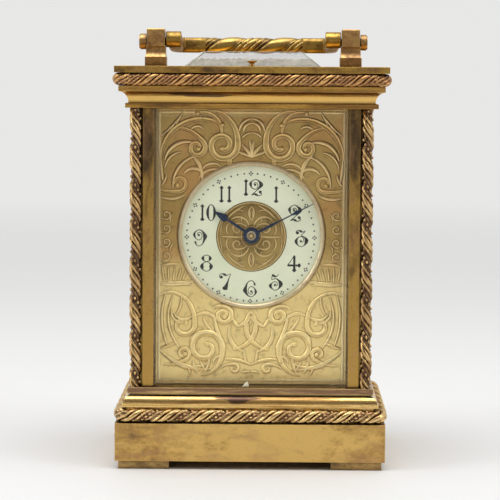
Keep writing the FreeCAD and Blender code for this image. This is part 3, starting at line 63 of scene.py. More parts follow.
ROPE_LOW, ROPE_HIGH = corners("base_rope")
CROWN_LOW, CROWN_HIGH = corners("top_rope")
COLUMN_LOW, COLUMN_HIGH = corners("rope_columns")
_, BAIL_HIGH = corners("handle_bail")
MASK_LOW, MASK_HIGH = corners("dial_mask")
CHAPTER_LOW, CHAPTER_HIGH = corners("chapter_ring")
DISC_LOW, DISC_HIGH = corners("dial_centre")

DIAL_LEVEL = (CHAPTER_LOW.z + CHAPTER_HIGH.z) / 2
# The disc sits a little low in the enamel ring.
DISC_LEVEL = DIAL_LEVEL - 0.5
DISC_RADIUS = DISC_HIGH.x - 0.25
MASK_FRONT = -MASK_LOW.y
CHAPTER_FRONT = -CHAPTER_LOW.y
DISC_FRONT = -DISC_LOW.y
JOINT = {joint["name"]: joint for joint in frame["joints"]}


# ---------------------------------------------------------------- materials

class Recipe:
    """Small helper that adds shader nodes to one material."""

    def __init__(self, name):
        self.material = bpy.data.materials.new(name)
        self.material.use_nodes = True
        self.tree = self.material.node_tree
        self.shader = self.tree.nodes["Principled BSDF"]
        self.where = self.add("ShaderNodeTexCoord").outputs["Object"]

    def add(self, kind, **inputs):
        made = self.tree.nodes.new(kind)
        for name, value in inputs.items():
            self.feed(made.inputs[name.replace("_", " ")], value)
        return made

    def feed(self, socket, value):
        if isinstance(value, bpy.types.NodeSocket):
            self.tree.links.new(value, socket)
        else:
            socket.default_value = value

    def noise(self, scale, detail=3.0, roughness=0.55, stretch=None, distortion=0.0):
        made = self.add("ShaderNodeTexNoise", Scale=scale, Detail=detail, Roughness=roughness,
                        Distortion=distortion)
        self.feed(made.inputs["Vector"], self.stretched(stretch) if stretch else self.where)
        return made.outputs["Fac"]

    def stretched(self, scale):
        made = self.add("ShaderNodeMapping", Vector=self.where)
        made.inputs["Scale"].default_value = scale
        return made.outputs["Vector"]

    def ramp(self, factor, stops):
        made = self.add("ShaderNodeValToRGB", Fac=factor)
        points = made.color_ramp.elements
        while len(points) < len(stops):
            points.new(0.5)
        for point, (at, colour) in zip(points, stops):
            point.position = at
            point.color = (*colour, 1) if isinstance(colour, tuple) else (colour,) * 3 + (1,)
        return made.outputs["Color"]

    def mix(self, factor, first, second, blend="MIX"):
        made = self.add("ShaderNodeMix")
        made.data_type = "RGBA"
        made.blend_type = blend
        self.feed(made.inputs["Factor"], factor)
        for socket, value in ((made.inputs[6], first), (made.inputs[7], second)):
            self.feed(socket, (*value, 1) if isinstance(value, tuple) else value)
        return made.outputs[2]

    def maths(self, operation, first, second=0.0):
        made = self.add("ShaderNodeMath")
        made.operation = operation
        self.feed(made.inputs[0], first)
        self.feed(made.inputs[1], second)
        return made.outputs[0]

    def plus(self, first, *more):
        for value in more:
            first = self.maths("ADD", first, value)
        return first

    def times(self, first, second):
        return self.maths("MULTIPLY", first, second)

    def spread(self, value, low, high, out_low=0.0, out_high=1.0):
        made = self.add("ShaderNodeMapRange", Value=value)
        made.inputs["From Min"].default_value = low
        made.inputs["From Max"].default_value = high
        made.inputs["To Min"].default_value = out_low
        made.inputs["To Max"].default_value = out_high
        return made.outputs["Result"]

    def along(self, axis):
        made = self.add("ShaderNodeSeparateXYZ", Vector=self.where)
        return made.outputs[axis]

    def crest(self):
        """Height stored on a mesh: 0 in its hollows and 1 on its crests."""
        made = self.add("ShaderNodeAttribute")
        made.attribute_name = "crest"
        return made.outputs["Fac"]

    def recess(self, distance, samples=6, inside=False):
        """1 in the open and less in hollows, or inside at edges, within some millimetres."""
        made = self.add("ShaderNodeAmbientOcclusion", Distance=distance * MM)
        made.samples, made.inside = samples, inside
        return made.outputs["AO"]

    def relief(self, height, strength, depth, rounding=0.0):
        """Bump of a depth in millimetres, on edges that are rounded by a few tenths of one."""
        made = self.add("ShaderNodeBump", Height=height, Strength=strength, Distance=depth * MM)
        if rounding:
            soft = self.add("ShaderNodeBevel", Radius=rounding * MM)
            soft.samples = 4
            self.feed(made.inputs["Normal"], soft.outputs["Normal"])
        self.feed(self.shader.inputs["Normal"], made.outputs["Normal"])

    def finish(self, **values):
        for name, value in values.items():
            if isinstance(value, tuple):
                value = (*value, 1)
            self.feed(self.shader.inputs[name.replace("_", " ")], value)
        return self.material


RUDDY = (0.46, 0.25, 0.13)
BRIGHT = (0.72, 0.47, 0.16)
DULL = (0.45, 0.28, 0.095)
STAIN = (0.20, 0.125, 0.055)
REDDISH = (0.34, 0.17, 0.075)
BAND_BLUR = 0.15


def tint_band(recipe, colour, uneven, low, high, tint, amount):
    """Paint a strip of the given light or shade colour over the heights between low and high, with a
    ragged strength.
    """
    above = recipe.spread(recipe.along("Z"), (low - BAND_BLUR) * MM, (low + BAND_BLUR) * MM)
    below = recipe.spread(recipe.along("Z"), (high + BAND_BLUR) * MM, (high - BAND_BLUR) * MM)
    inside = recipe.times(recipe.times(above, below), amount)
    ragged = recipe.spread(uneven, 0.58, 0.46, 0.35, 1.0)
    return recipe.mix(recipe.times(inside, ragged), colour, tint)


def stain_blot(recipe, colour, uneven, x, z, half_x, half_z, dark):
    """Add a dark, ragged stain about (x, z)."""
    squares = []
    for axis, middle, half in (("X", x, half_x), ("Z", z, half_z)):
        away = recipe.maths("SUBTRACT", recipe.along(axis), middle * MM)
        away = recipe.maths("DIVIDE", away, half * MM)
        squares.append(recipe.times(away, away))
    reach = recipe.plus(*squares, recipe.times(uneven, 2.4))
    return recipe.mix(recipe.spread(reach, 2.15, 1.85, 0.0, 0.9), colour, dark)


def aged_metal(name, bright, dull, dark, patch=30.0, tarnish=0.5, gloss=(0.22, 0.46), hollow=2.0,
               rounding=0.25, brushed=None, ditch=None, spots=0.5, streak=None, flush=0.3,
               edge=0.35, lift=None, light_bands=(), blots=()):
    """Gilt or brass that is bright where it is handled and dull, red or dark elsewhere.

    streak stretches the stains along the piece, lift = (axis, start, end, amount) makes it
    brighter towards one end, or towards the middle along X, light_bands are (low, high, colour,
    amount) strips of painted shade and painted highlight at some heights, blots are dark stains of
    (x, z, half wide, half high), and ditch is the colour of the hollows in a mesh that stores its
    height: dark patina with painted shade between the strands."""
    recipe = Recipe(name)
    broad = recipe.noise(patch, 6.0, 0.62, streak, 0.7)
    middle = recipe.noise(patch * 3.5, 5.0, 0.68, streak, 0.3)
    fine = recipe.noise(patch * 11, 4.0, 0.7)
    blend = recipe.plus(recipe.times(broad, 0.55), recipe.times(middle, 0.33),
                        recipe.times(fine, 0.12))
    if lift:
        axis, start, end, amount = lift
        along = recipe.along(axis)
        if axis == "X":
            along = recipe.maths("ABSOLUTE", along)
        blend = recipe.plus(blend, recipe.spread(along, start * MM, end * MM, 0.0, amount))
    level = 0.36 + 0.28 * tarnish
    colour = recipe.ramp(blend, [(level - 0.13, dark), (level - 0.035, dull),
                                 (level + 0.05, bright), (level + 0.22, bright)])
    blush = recipe.noise(patch * 1.7, 4.0, 0.6, streak, 0.5)
    colour = recipe.mix(recipe.spread(blush, 0.50, 0.68, 0.0, flush), colour, RUDDY)
    for band in light_bands:
        colour = tint_band(recipe, colour, blend, *band)
    for blot in blots:
        colour = stain_blot(recipe, colour, middle, *blot, dark)
    freckle = recipe.noise(max(900, patch * 12), 3.0, 0.7)
    colour = recipe.mix(recipe.spread(freckle, 0.61, 0.70, 0.0, spots), colour, dark)
    colour = recipe.mix(recipe.spread(freckle, 0.37, 0.28, 0.0, spots * 0.6), colour, bright)
    if ditch:
        height = recipe.crest()
        # Dark patina with painted shade in the hollows, then a painted highlight on the crests.
        colour = recipe.mix(recipe.spread(height, 0.08, 0.62), ditch, colour)
        colour = recipe.mix(recipe.spread(height, 0.82, 1.0, 0.0, 0.7), colour, bright)
    if edge:
        rim = recipe.spread(recipe.recess(0.45, 5, True), 0.92, 0.55, 0.0, edge)
        colour = recipe.mix(rim, colour, tuple(min(1.0, part * 1.15) for part in bright))
    if hollow:
        # Dark patina with painted shade in recesses and between parts.
        open_part = recipe.spread(recipe.recess(hollow), 0.25, 0.85)
        colour = recipe.mix(open_part, tuple(part * 0.30 for part in dark), colour)
    rough = recipe.spread(blend, level + 0.10, level - 0.12, *gloss)
    texture = recipe.plus(middle, recipe.times(freckle, 0.5))
    if brushed:
        lines = recipe.noise(140, 2.0, 0.5, brushed)
        texture = recipe.plus(texture, recipe.times(lines, 0.8))
        rough = recipe.plus(rough, recipe.times(lines, 0.08))
    recipe.relief(texture, 0.4, 0.07, rounding)
    return recipe.finish(Base_Color=colour, Metallic=1.0, Roughness=rough)


case_brass = aged_metal("case_brass", BRIGHT, DULL, STAIN, patch=90, brushed=(0.05, 1, 1))
plinth_brass = aged_metal("plinth_brass", (0.77, 0.51, 0.165), (0.58, 0.355, 0.11), (0.27, 0.165, 0.08),
                          patch=85, tarnish=0.63, gloss=(0.30, 0.48), brushed=(0.04, 1, 1),
                          streak=(0.5, 1, 1), lift=("X", 52.0, 16.0, 0.09), flush=0.6, spots=0.35)
foot_brass = aged_metal("foot_brass", (0.55, 0.36, 0.13), (0.31, 0.20, 0.085), (0.16, 0.10, 0.06),
                        patch=140, tarnish=0.56, gloss=(0.30, 0.5), streak=(0.4, 1, 1))
moulding_brass = aged_metal("moulding_brass", (0.90, 0.62, 0.23), (0.60, 0.35, 0.11),
                            (0.13, 0.075, 0.055), patch=190, tarnish=0.36, gloss=(0.22, 0.42),
                            streak=(0.10, 1, 1), hollow=1.5, flush=0.35,
                            # Painted shade: a dark strip over the fillet between 26.75 and 29.4 mm.
                            light_bands=[(26.75, 29.4, (0.25, 0.145, 0.09), 0.95)],
                            blots=[(-5.5, 25.5, 10.0, 0.8), (-4.5, 24.9, 4.5, 1.3)])
# Darker copy of the gilt for the cornice: painted shade standing in for the dim front its faces
# reflect.
crown_brass = aged_metal("crown_brass", (0.66, 0.375, 0.088), (0.35, 0.18, 0.046), (0.12, 0.07, 0.04),
                         patch=210, tarnish=0.55, gloss=(0.22, 0.42), streak=(0.10, 1, 1),
                         # Painted shade over the upper cornice, and a painted highlight along the cove.
                         hollow=1.5, flush=0.5, light_bands=[(137.9, 142.0, (0.26, 0.14, 0.045), 0.9),
                                (131.9, 134.2, (0.88, 0.57, 0.17), 0.8)],
                         blots=[(-16.0, 134.4, 9.0, 0.7), (-24.0, 134.9, 7.0, 0.5)])
# Darker copy of the gilt for the top plate: painted shade standing in for the dim front its face
# reflects.
plate_brass = aged_metal("plate_brass", (0.55, 0.335, 0.075), (0.34, 0.19, 0.05),
                         (0.11, 0.065, 0.035), patch=95, tarnish=0.55, gloss=(0.25, 0.45),
                         streak=(0.6, 0.8, 1), lift=("Z", 144.2, 144.8, 0.07), hollow=1.5,
                         flush=0.35)
# Darker copy of the gilt for the pillars, darker still towards the top: painted shade.
pillar_brass = aged_metal("pillar_brass", (0.46, 0.28, 0.072), (0.25, 0.15, 0.05),
                          (0.10, 0.065, 0.035), patch=130, tarnish=0.82, streak=(1, 1, 0.35),
                          lift=("Z", 122.0, 40.0, 0.20), flush=0.45)
handle_brass = aged_metal("handle_brass", (0.62, 0.39, 0.14), (0.40, 0.23, 0.095),
                          (0.16, 0.095, 0.065), patch=190, tarnish=0.50, gloss=(0.30, 0.52),
                          flush=0.65)
bail_brass = aged_metal("bail_brass", (0.56, 0.36, 0.085), (0.33, 0.20, 0.05), (0.12, 0.075, 0.03),
                        patch=210, tarnish=0.52, gloss=(0.34, 0.54), flush=0.4)
base_rope_brass = aged_metal("base_rope_brass", (0.76, 0.54, 0.24), (0.48, 0.31, 0.13), REDDISH,
                             patch=170, tarnish=0.38, ditch=(0.19, 0.095, 0.055), hollow=0.9,
                             rounding=0, gloss=(0.22, 0.42), edge=0, flush=0.4)
crown_rope_brass = aged_metal("crown_rope_brass", (0.64, 0.37, 0.14), (0.40, 0.205, 0.08), REDDISH,
                              patch=170, tarnish=0.52, ditch=(0.17, 0.085, 0.05), hollow=0.9,
                              rounding=0, gloss=(0.24, 0.46), edge=0, flush=0.6)
column_brass = aged_metal("column_brass", (0.62, 0.42, 0.18), (0.38, 0.23, 0.095), (0.18, 0.10, 0.05),
                          patch=170, tarnish=0.55, ditch=(0.10, 0.055, 0.035), hollow=0.9,
                          rounding=0, edge=0)
grip_brass = aged_metal("grip_brass", (0.64, 0.43, 0.12), (0.40, 0.26, 0.08), (0.18, 0.115, 0.045),
                        patch=200, tarnish=0.46, ditch=(0.09, 0.055, 0.035), hollow=0.9,
                        rounding=0, edge=0, gloss=(0.26, 0.46), flush=0.4)
bezel_brass = aged_metal("bezel_brass", (0.66, 0.56, 0.36), (0.56, 0.47, 0.30), (0.42, 0.33, 0.21),
                         patch=120, tarnish=0.3, gloss=(0.34, 0.48), hollow=0, spots=0.2, edge=0.2,
                         rounding=0.4)
movement_brass = aged_metal("movement_brass", (0.82, 0.62, 0.27), (0.68, 0.50, 0.21),
                            (0.46, 0.31, 0.13), patch=90, tarnish=0.25, gloss=(0.16, 0.32),
                            spots=0.15, hollow=1.0, rounding=0.08, flush=0.12)


def engraved_metal(name, low, high, ridged, shine=0.6, grain=0.35, warmth=0.55):
    """Chased gilt metal, browner at the top than at the foot; ridged reads the stored height to paint
    shadow low on the ribbons and highlights on their ridges.
    """
    recipe = Recipe(name)
    climb = recipe.spread(recipe.along("Z"), 80 * MM, 60 * MM)
    broad = recipe.noise(48, 4.0, 0.6, distortion=0.4)
    fine = recipe.noise(420, 4.0, 0.65)
    level = recipe.plus(climb, recipe.times(broad, 0.5))
    colour = recipe.ramp(level, [(0.18, high), (1.05, low)])
    warm = recipe.spread(recipe.noise(70, 4.0, 0.6), 0.48, 0.60, 0.0, warmth)
    warm = recipe.times(warm, recipe.spread(climb, 0.0, 1.0, 1.0, 0.2))
    colour = recipe.mix(warm, colour, (0.62, 0.33, 0.12))
    colour = recipe.mix(recipe.spread(fine, 0.54, 0.68, 0.0, grain), colour, (0.26, 0.18, 0.08))
    if ridged:
        height = recipe.crest()
        # Painted shadow in the margins and low parts of the ribbons, and a painted highlight along
        # their ridges.
        ditch = recipe.ramp(level, [(0.3, (0.20, 0.14, 0.06)), (1.0, (0.47, 0.38, 0.24))])
        edge = recipe.ramp(level, [(0.3, (0.84, 0.66, 0.36)), (1.0, (0.98, 0.82, 0.46))])
        colour = recipe.mix(recipe.spread(height, 0.10, 0.50), ditch, colour)
        colour = recipe.mix(recipe.spread(height, 0.75, 1.0, 0.0, shine), colour, edge)
    # Painted shade on the ground close round the raised ribbons.
    open_part = recipe.spread(recipe.recess(0.5), 0.20, 0.8)
    colour = recipe.mix(open_part, (0.20, 0.145, 0.075), colour)
    recipe.relief(recipe.plus(fine, broad), 0.5, 0.06)
    return recipe.finish(Base_Color=colour, Metallic=1.0,
                         Roughness=recipe.spread(fine, 0.3, 0.7, 0.34, 0.48))


mask_ground = engraved_metal("mask_ground", (1.0, 0.79, 0.35), (0.48, 0.315, 0.10), False)
mask_relief = engraved_metal("mask_relief", (1.0, 0.80, 0.37), (0.60, 0.41, 0.145), True)
disc_ground = engraved_metal("disc_ground", (0.46, 0.33, 0.12), (0.43, 0.305, 0.11), False,
                             grain=0.9, warmth=0.1)
disc_relief = engraved_metal("disc_relief", (0.62, 0.45, 0.18), (0.60, 0.43, 0.17), True, 0.5,
                             warmth=0.1)


def enamel_white():
    """Cream enamel with a few hairline cracks."""
    recipe = Recipe("enamel")
    cells = recipe.add("ShaderNodeTexVoronoi", Scale=52.0)
    cells.feature = "DISTANCE_TO_EDGE"
    bent = recipe.add("ShaderNodeMix")
    bent.data_type = "VECTOR"
    recipe.feed(bent.inputs["Factor"], 0.12)
    recipe.feed(bent.inputs[4], recipe.where)
    recipe.feed(bent.inputs[5], recipe.add("ShaderNodeTexNoise", Scale=70.0).outputs["Color"])
    recipe.feed(cells.inputs["Vector"], bent.outputs[1])
    line = recipe.spread(cells.outputs["Distance"], 0.0, 0.022, 1.0, 0.0)
    some = recipe.spread(recipe.noise(38, 1.0), 0.52, 0.58)
    crack = recipe.times(line, some)
    body = recipe.ramp(recipe.noise(60, 3.0), [(0.35, (0.78, 0.83, 0.60)), (0.65, (0.85, 0.88, 0.67))])
    colour = recipe.mix(recipe.times(crack, 0.45), body, (0.33, 0.29, 0.18))
    recipe.relief(recipe.noise(90, 2.0), 0.08, 0.05)
    return recipe.finish(Base_Color=colour, Roughness=0.14, Coat_Weight=0.4)


def plain(name, colour, roughness, metallic=0.0, grain=300.0, variety=0.25, **more):
    """A simple finish with slight unevenness of colour and gloss."""
    recipe = Recipe(name)
    texture = recipe.noise(grain, 4.0)
    darker = tuple(part * (1 - variety) for part in colour)
    shade = recipe.mix(recipe.spread(texture, 0.35, 0.65), darker, colour)
    rough = recipe.spread(texture, 0.3, 0.7, roughness * 0.85, roughness * 1.2)
    recipe.relief(texture, 0.15, 0.03)
    return recipe.finish(Base_Color=shade, Roughness=rough, Metallic=metallic, **more)


def clear_glass(name, tint, alpha):
    """Clear glass with the faintest waviness."""
    recipe = Recipe(name)
    smear = recipe.noise(45, 3.0)
    recipe.relief(smear, 0.01, 0.03)
    return recipe.finish(Base_Color=tint, Roughness=0.0, Transmission_Weight=1.0, IOR=1.5,
                         Alpha=alpha)


enamel = enamel_white()
numeral_ink = plain("numeral_ink", (0.028, 0.032, 0.024), 0.45)
blued_steel = plain("blued_steel", (0.055, 0.075, 0.125), 0.34, metallic=1.0, grain=90)
polished_steel = plain("polished_steel", (0.56, 0.55, 0.53), 0.22, metallic=1.0)
window_glass = clear_glass("window_glass", (0.95, 0.98, 0.94), 0.10)
# Painted highlight on the bevel of the front glass.
bevel_painted_highlight = plain("bevel_painted_highlight", (0.92, 0.86, 0.58), 0.18, grain=60, Alpha=0.055)
lid_glass = clear_glass("lid_glass", (0.97, 1.0, 0.93), 0.13)
# Painted reflection of the brass inside, seen at the foot of the top glass.
lid_painted_reflection = plain("lid_painted_reflection", (0.60, 0.56, 0.43), 0.4, grain=420, variety=0.5, Alpha=0.30)
# Painted highlight along the edges of the top glass.
lid_edge_highlight = plain("lid_edge_highlight", (0.86, 0.92, 0.86), 0.35, grain=200, Alpha=0.55)
glass_bruise = plain("glass_bruise", (0.86, 0.84, 0.62), 0.5, grain=900)


COLLET_RADIUS = 2.0


def collet_metal():
    """Turned collet with a dark groove round a bright pin."""
    recipe = Recipe("collet_metal")
    across = recipe.along("X")
    up = recipe.maths("SUBTRACT", recipe.along("Z"), DIAL_LEVEL * MM)
    square = recipe.plus(recipe.times(across, across), recipe.times(up, up))
    share = recipe.times(recipe.maths("SQRT", square), 1 / (COLLET_RADIUS * MM))
    colour = recipe.ramp(share,
                         [(0.0, (0.90, 0.80, 0.62)), (0.17, (0.80, 0.66, 0.44)),
                          (0.27, (0.10, 0.09, 0.09)), (0.40, (0.16, 0.14, 0.13)),
                          (0.50, (0.62, 0.52, 0.38)), (0.85, (0.46, 0.38, 0.28))])
    recipe.relief(recipe.noise(500, 3.0), 0.2, 0.03)
    return recipe.finish(Base_Color=colour, Metallic=1.0, Roughness=0.3)


collet_brass = collet_metal()

FINISH = {
    "feet": foot_brass, "base_plinth": plinth_brass, "base_moulding": moulding_brass,
    "front_pillars": pillar_brass, "rear_pillars": pillar_brass, "cornice": crown_brass,
    "top_plate": plate_brass, "handle_posts": handle_brass, "handle_pivots": handle_brass,
    "door_frame": pillar_brass, "door_knob": handle_brass, "dial_mask": mask_ground,
    "dial_plate": case_brass, "dial_bezel": bezel_brass, "hour_hand": blued_steel,
    "minute_hand": blued_steel, "hand_collet": collet_brass, "front_glass": window_glass,
    "side_glasses": window_glass, "door_glass": window_glass, "top_glass": lid_glass,
}
STEEL_NODES = ("dial_screws", "pillar_screws", "seat_screws", "click_screw", "click_spring",
               "platform_screws", "hairspring", "mainspring", "barrel_arbor", "ratchet_wheel",
               "click", "pallet_lever", "regulator_index", "door_hinge_pins")
for name, obj in frame["nodes"].items():
    finish = FINISH.get(name, polished_steel if name in STEEL_NODES else movement_brass)
    for slot in obj.material_slots:
        slot.material = finish


# ---------------------------------------------------------------- mesh helpers

def piece(name, points, faces, material, body, sharp=40, crest=None):
    """Make one mesh piece from points in millimetres and let it ride on a CAD body."""
    mesh = bpy.data.meshes.new(name)
    mesh.from_pydata((np.asarray(points, float) * MM).tolist(), [], faces)
    mesh.update()
    if crest is not None:
        layer = mesh.attributes.new("crest", "FLOAT", "POINT")
        layer.data.foreach_set("value", np.asarray(crest, np.float32).ravel())
    work = bmesh.new()
    work.from_mesh(mesh)
    bmesh.ops.recalc_face_normals(work, faces=work.faces)
    work.to_mesh(mesh)
    work.free()
    mesh.polygons.foreach_set("use_smooth", [True] * len(mesh.polygons))
    mesh.set_sharp_from_angle(angle=math.radians(sharp))
    mesh.materials.append(material)
    obj = bpy.data.objects.new(name, mesh)
    bpy.context.scene.collection.objects.link(obj)
    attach(obj, body)
    return obj


def grid_faces(rows, columns, closed_rows=False, closed_columns=True):
    """Quads of a grid of points, row by row."""
    faces = []
    for row in range(rows if closed_rows else rows - 1):
        above = (row + 1) % rows
        for column in range(columns if closed_columns else columns - 1):
            beside = (column + 1) % columns
            faces.append((row * columns + column, row * columns + beside,
                          above * columns + beside, above * columns + column))
    return faces


def ends(rows, columns):
    """Faces that close the first and last rows of a grid."""
    return [tuple(range(columns)), tuple(range((rows - 1) * columns, rows * columns))]


def tube(centres, outwards, upwards, radii, closed):
    """Points and faces of a tube whose radius is given at each place and angle."""
    rows, columns = radii.shape
    angles = np.linspace(-math.pi, math.pi, columns, endpoint=False)
    points = (centres[:, None, :]
              + outwards[:, None, :] * (radii * np.cos(angles))[:, :, None]
              + upwards[:, None, :] * (radii * np.sin(angles))[:, :, None])
    faces = grid_faces(rows, columns, closed_rows=closed)
    if not closed:
        faces += ends(rows, columns)
    return points.reshape(-1, 3), faces


def join_parts(parts):
    """Several (points, faces, crests) as one."""
    points, faces, crests, start = [], [], [], 0
    for more, sides, crest in parts:
        points.append(np.asarray(more, float))
        crests.append(np.asarray(crest, float).ravel())
        faces += [tuple(index + start for index in side) for side in sides]
        start += len(more)
    return np.concatenate(points), faces, np.concatenate(crests)


def curve_through(points, step):
    """Smooth curve through rows of values (Catmull-Rom), about one row for each step."""
    rows = np.asarray(points, float)
    ends = np.vstack([2 * rows[0] - rows[1], rows, 2 * rows[-1] - rows[-2]])
    out = []
    for index in range(1, len(ends) - 2):
        before, start, end, after = ends[index - 1:index + 3]
        count = max(2, int(np.linalg.norm((end - start)[:2]) / step))
        for t in np.arange(count) / count:
            out.append(0.5 * (2 * start + (end - before) * t
                              + (2 * before - 5 * start + 4 * end - after) * t ** 2
                              + (3 * start - before - 3 * end + after) * t ** 3))
    out.append(rows[-1])
    return np.array(out)


def ribbon(path, section, front, height, closed=False, moat=0.0):
    """A strip laid on an upright plane.

    Path rows are (x, z, width) and section rows (across, rise, crest); a moat is a flat margin in
    millimetres along both sides, with crest 0, which the materials paint with shadow."""
    path = np.asarray(path, float)
    flow = np.roll(path, -1, 0) - np.roll(path, 1, 0) if closed else np.gradient(path, axis=0)
    flow = flow[:, :2]
    flow /= np.maximum(np.linalg.norm(flow, axis=1), 1e-9)[:, None]
    side = np.stack([-flow[:, 1], flow[:, 0]], 1)
    half = path[:, 2:3] / 2
    full = np.clip(path[:, 2:3] / max(path[:, 2].max(), 1e-9), 0.35, 1.0)
    across = np.array([row[0] for row in section])
    rise = np.array([row[1] for row in section]) * height
    crest = np.array([row[2] for row in section])
    offset, lift = half * across, rise * full
    if moat:
        edge = half + moat
        offset = np.hstack([-edge, -edge, offset, edge, edge])
        low, flat = np.full_like(half, -0.1), np.full_like(half, 0.03)
        lift = np.hstack([low, flat, lift, flat, low])
        crest = np.concatenate([(0, 0), crest, (0, 0)])
    x = path[:, 0:1] + side[:, 0:1] * offset
    z = path[:, 1:2] + side[:, 1:2] * offset
    y = -(front + lift)
    points = np.stack([x, y, z], 2).reshape(-1, 3)
    rows, columns = offset.shape
    faces = grid_faces(rows, columns, closed_rows=closed)
    if not closed:
        faces += ends(rows, columns)
    return points, faces, np.tile(crest, rows)


def disc(x, z, radius, front, rise, sides=14, dome=0.0):
    """A small round boss on an upright plane, flat or domed."""
    rings = [(1.0, -0.05), (1.0, rise)] if not dome else [(1.0, -0.05), (0.95, rise),
                                                         (0.6, rise + dome * 0.75)]
    angles = np.linspace(0, 2 * math.pi, sides, endpoint=False)
    points = [(x + radius * scale * math.cos(a), -(front + up), z + radius * scale * math.sin(a))
              for scale, up in rings for a in angles]
    crest = [0.25] * sides + [0.7] * sides * (len(rings) - 1)
    faces = grid_faces(len(rings), sides) + ends(len(rings), sides)
    if dome:
        faces.pop()
        points.append((x, -(front + rise + dome), z))
        crest.append(1.0)
        start, tip = (len(rings) - 1) * sides, len(points) - 1
        faces += [(start + i, start + (i + 1) % sides, tip) for i in range(sides)]
    return np.array(points), faces, np.array(crest)


def mirrored(part):
    """The same points, faces and crests on the other side of X = 0."""
    points, faces, crest = part
    return np.asarray(points) * (-1, 1, 1), [tuple(reversed(face)) for face in faces], crest


# ---------------------------------------------------------------- rope mouldings

class Rope:
    """Relief of a cast rope moulding.

    Strands are rows of (centre, half width, lift, teeth): the first two are shares of the repeat,
    lift is how far the top is below the outside and teeth how deep its notches are. Beads are
    rows of (centre, angle of one of them, angle between them, radius)."""

    def __init__(self, repeat, radius, lean, strands, deep, beads=(), round_by=0.75):
        self.repeat, self.radius, self.lean = repeat, radius, lean
        self.strands, self.deep, self.beads, self.round_by = strands, deep, beads, round_by

    def relief(self, turns, angle):
        """Depth below the outside, in millimetres, and how much of a crest each place is."""
        phase = turns - self.lean * angle / (2 * math.pi)
        place = phase - np.floor(phase)
        depth = np.full(place.shape, -self.deep)
        for centre, half, lift, teeth in self.strands:
            offset = ((place - centre + 0.5) % 1.0 - 0.5) / half
            bow = np.sqrt(np.clip(1 - offset ** 2, 0, 1)) - 1
            top = lift + self.round_by * bow
            if teeth:
                top = top - teeth * (0.5 - 0.5 * np.cos(angle * 16 + 40 * centre))
            depth = np.maximum(depth, np.where(np.abs(offset) < 1, top, -9.0))
        for centre, first, pitch, radius in self.beads:
            offset = (place - centre + 0.5) % 1.0 - 0.5
            index = np.round((angle - first) / pitch)
            for shift in (-1, 0, 1):
                beside = angle - first - (index + shift) * pitch
                up = beside * self.radius
                along = self.repeat * (offset + self.lean * beside / (2 * math.pi))
                inside = np.clip(radius ** 2 - up ** 2 - along ** 2, 0, None)
                depth = np.maximum(depth, -self.deep + 1.15 * np.sqrt(inside))
        crest = np.clip((depth + self.deep) / self.deep, 0, 1)
        return depth, crest


def rounded_loop(half_x, half_y, corner, step):
    """Rows (x, y, out x, out y, distance) round a rectangle, from the front's left end."""
    rows, travelled = [], 0.0
    sides = [((-half_x + corner, -half_y), (1, 0), 2 * (half_x - corner)),
             ((half_x, -half_y + corner), (0, 1), 2 * (half_y - corner)),
             ((half_x - corner, half_y), (-1, 0), 2 * (half_x - corner)),
             ((-half_x, half_y - corner), (0, -1), 2 * (half_y - corner))]
    for (x, y), (dx, dy), length in sides:
        out = (dy, -dx)
        count = int(length / step)
        for index in range(count):
            here = length * index / count
            rows.append((x + dx * here, y + dy * here, *out, travelled + here))
        travelled += length
        centre = (x + dx * length - out[0] * corner, y + dy * length - out[1] * corner)
        count = 14
        for index in range(count):
            turn = math.pi / 2 * index / count
            nx = out[0] * math.cos(turn) + dx * math.sin(turn)
            ny = out[1] * math.cos(turn) + dy * math.sin(turn)
            rows.append((centre[0] + nx * corner, centre[1] + ny * corner, nx, ny,
                         travelled + corner * turn))
        travelled += corner * math.pi / 2
    return np.array(rows), travelled


def rope_round_case(name, low, high, rope, material, spot, phase):
    """A rope laid round the case, at the given phase where X = spot on the front.

    Its repeat is true on the front and eased on the other sides, so that the ends meet."""
    radius = (high.z - low.z) / 2
    rope.radius = radius
    corner = radius * 1.05
    rows, perimeter = rounded_loop(high.x - radius, high.y - radius, corner, 0.30)
    front = 2 * (high.x - radius - corner)
    whole = round(perimeter / rope.repeat)
    rest_rate = (whole - front / rope.repeat) / (perimeter - front)
    travelled = rows[:, 4]
    start = phase - (spot + front / 2) / rope.repeat
    turns = np.where(travelled < front, travelled / rope.repeat,
                     front / rope.repeat + (travelled - front) * rest_rate) + start
    columns = 60
    angles = np.linspace(-math.pi, math.pi, columns, endpoint=False)
    depth, crest = rope.relief(turns[:, None], angles[None, :])
    centres = np.column_stack([rows[:, 0], rows[:, 1], np.full(len(rows), (high.z + low.z) / 2)])
    outwards = np.column_stack([rows[:, 2], rows[:, 3], np.zeros(len(rows))])
    upwards = np.tile((0.0, 0.0, 1.0), (len(rows), 1))
    points, faces = tube(centres, outwards, upwards, radius + depth, closed=True)
    return piece(name, points, faces, material, "case", sharp=75, crest=crest)


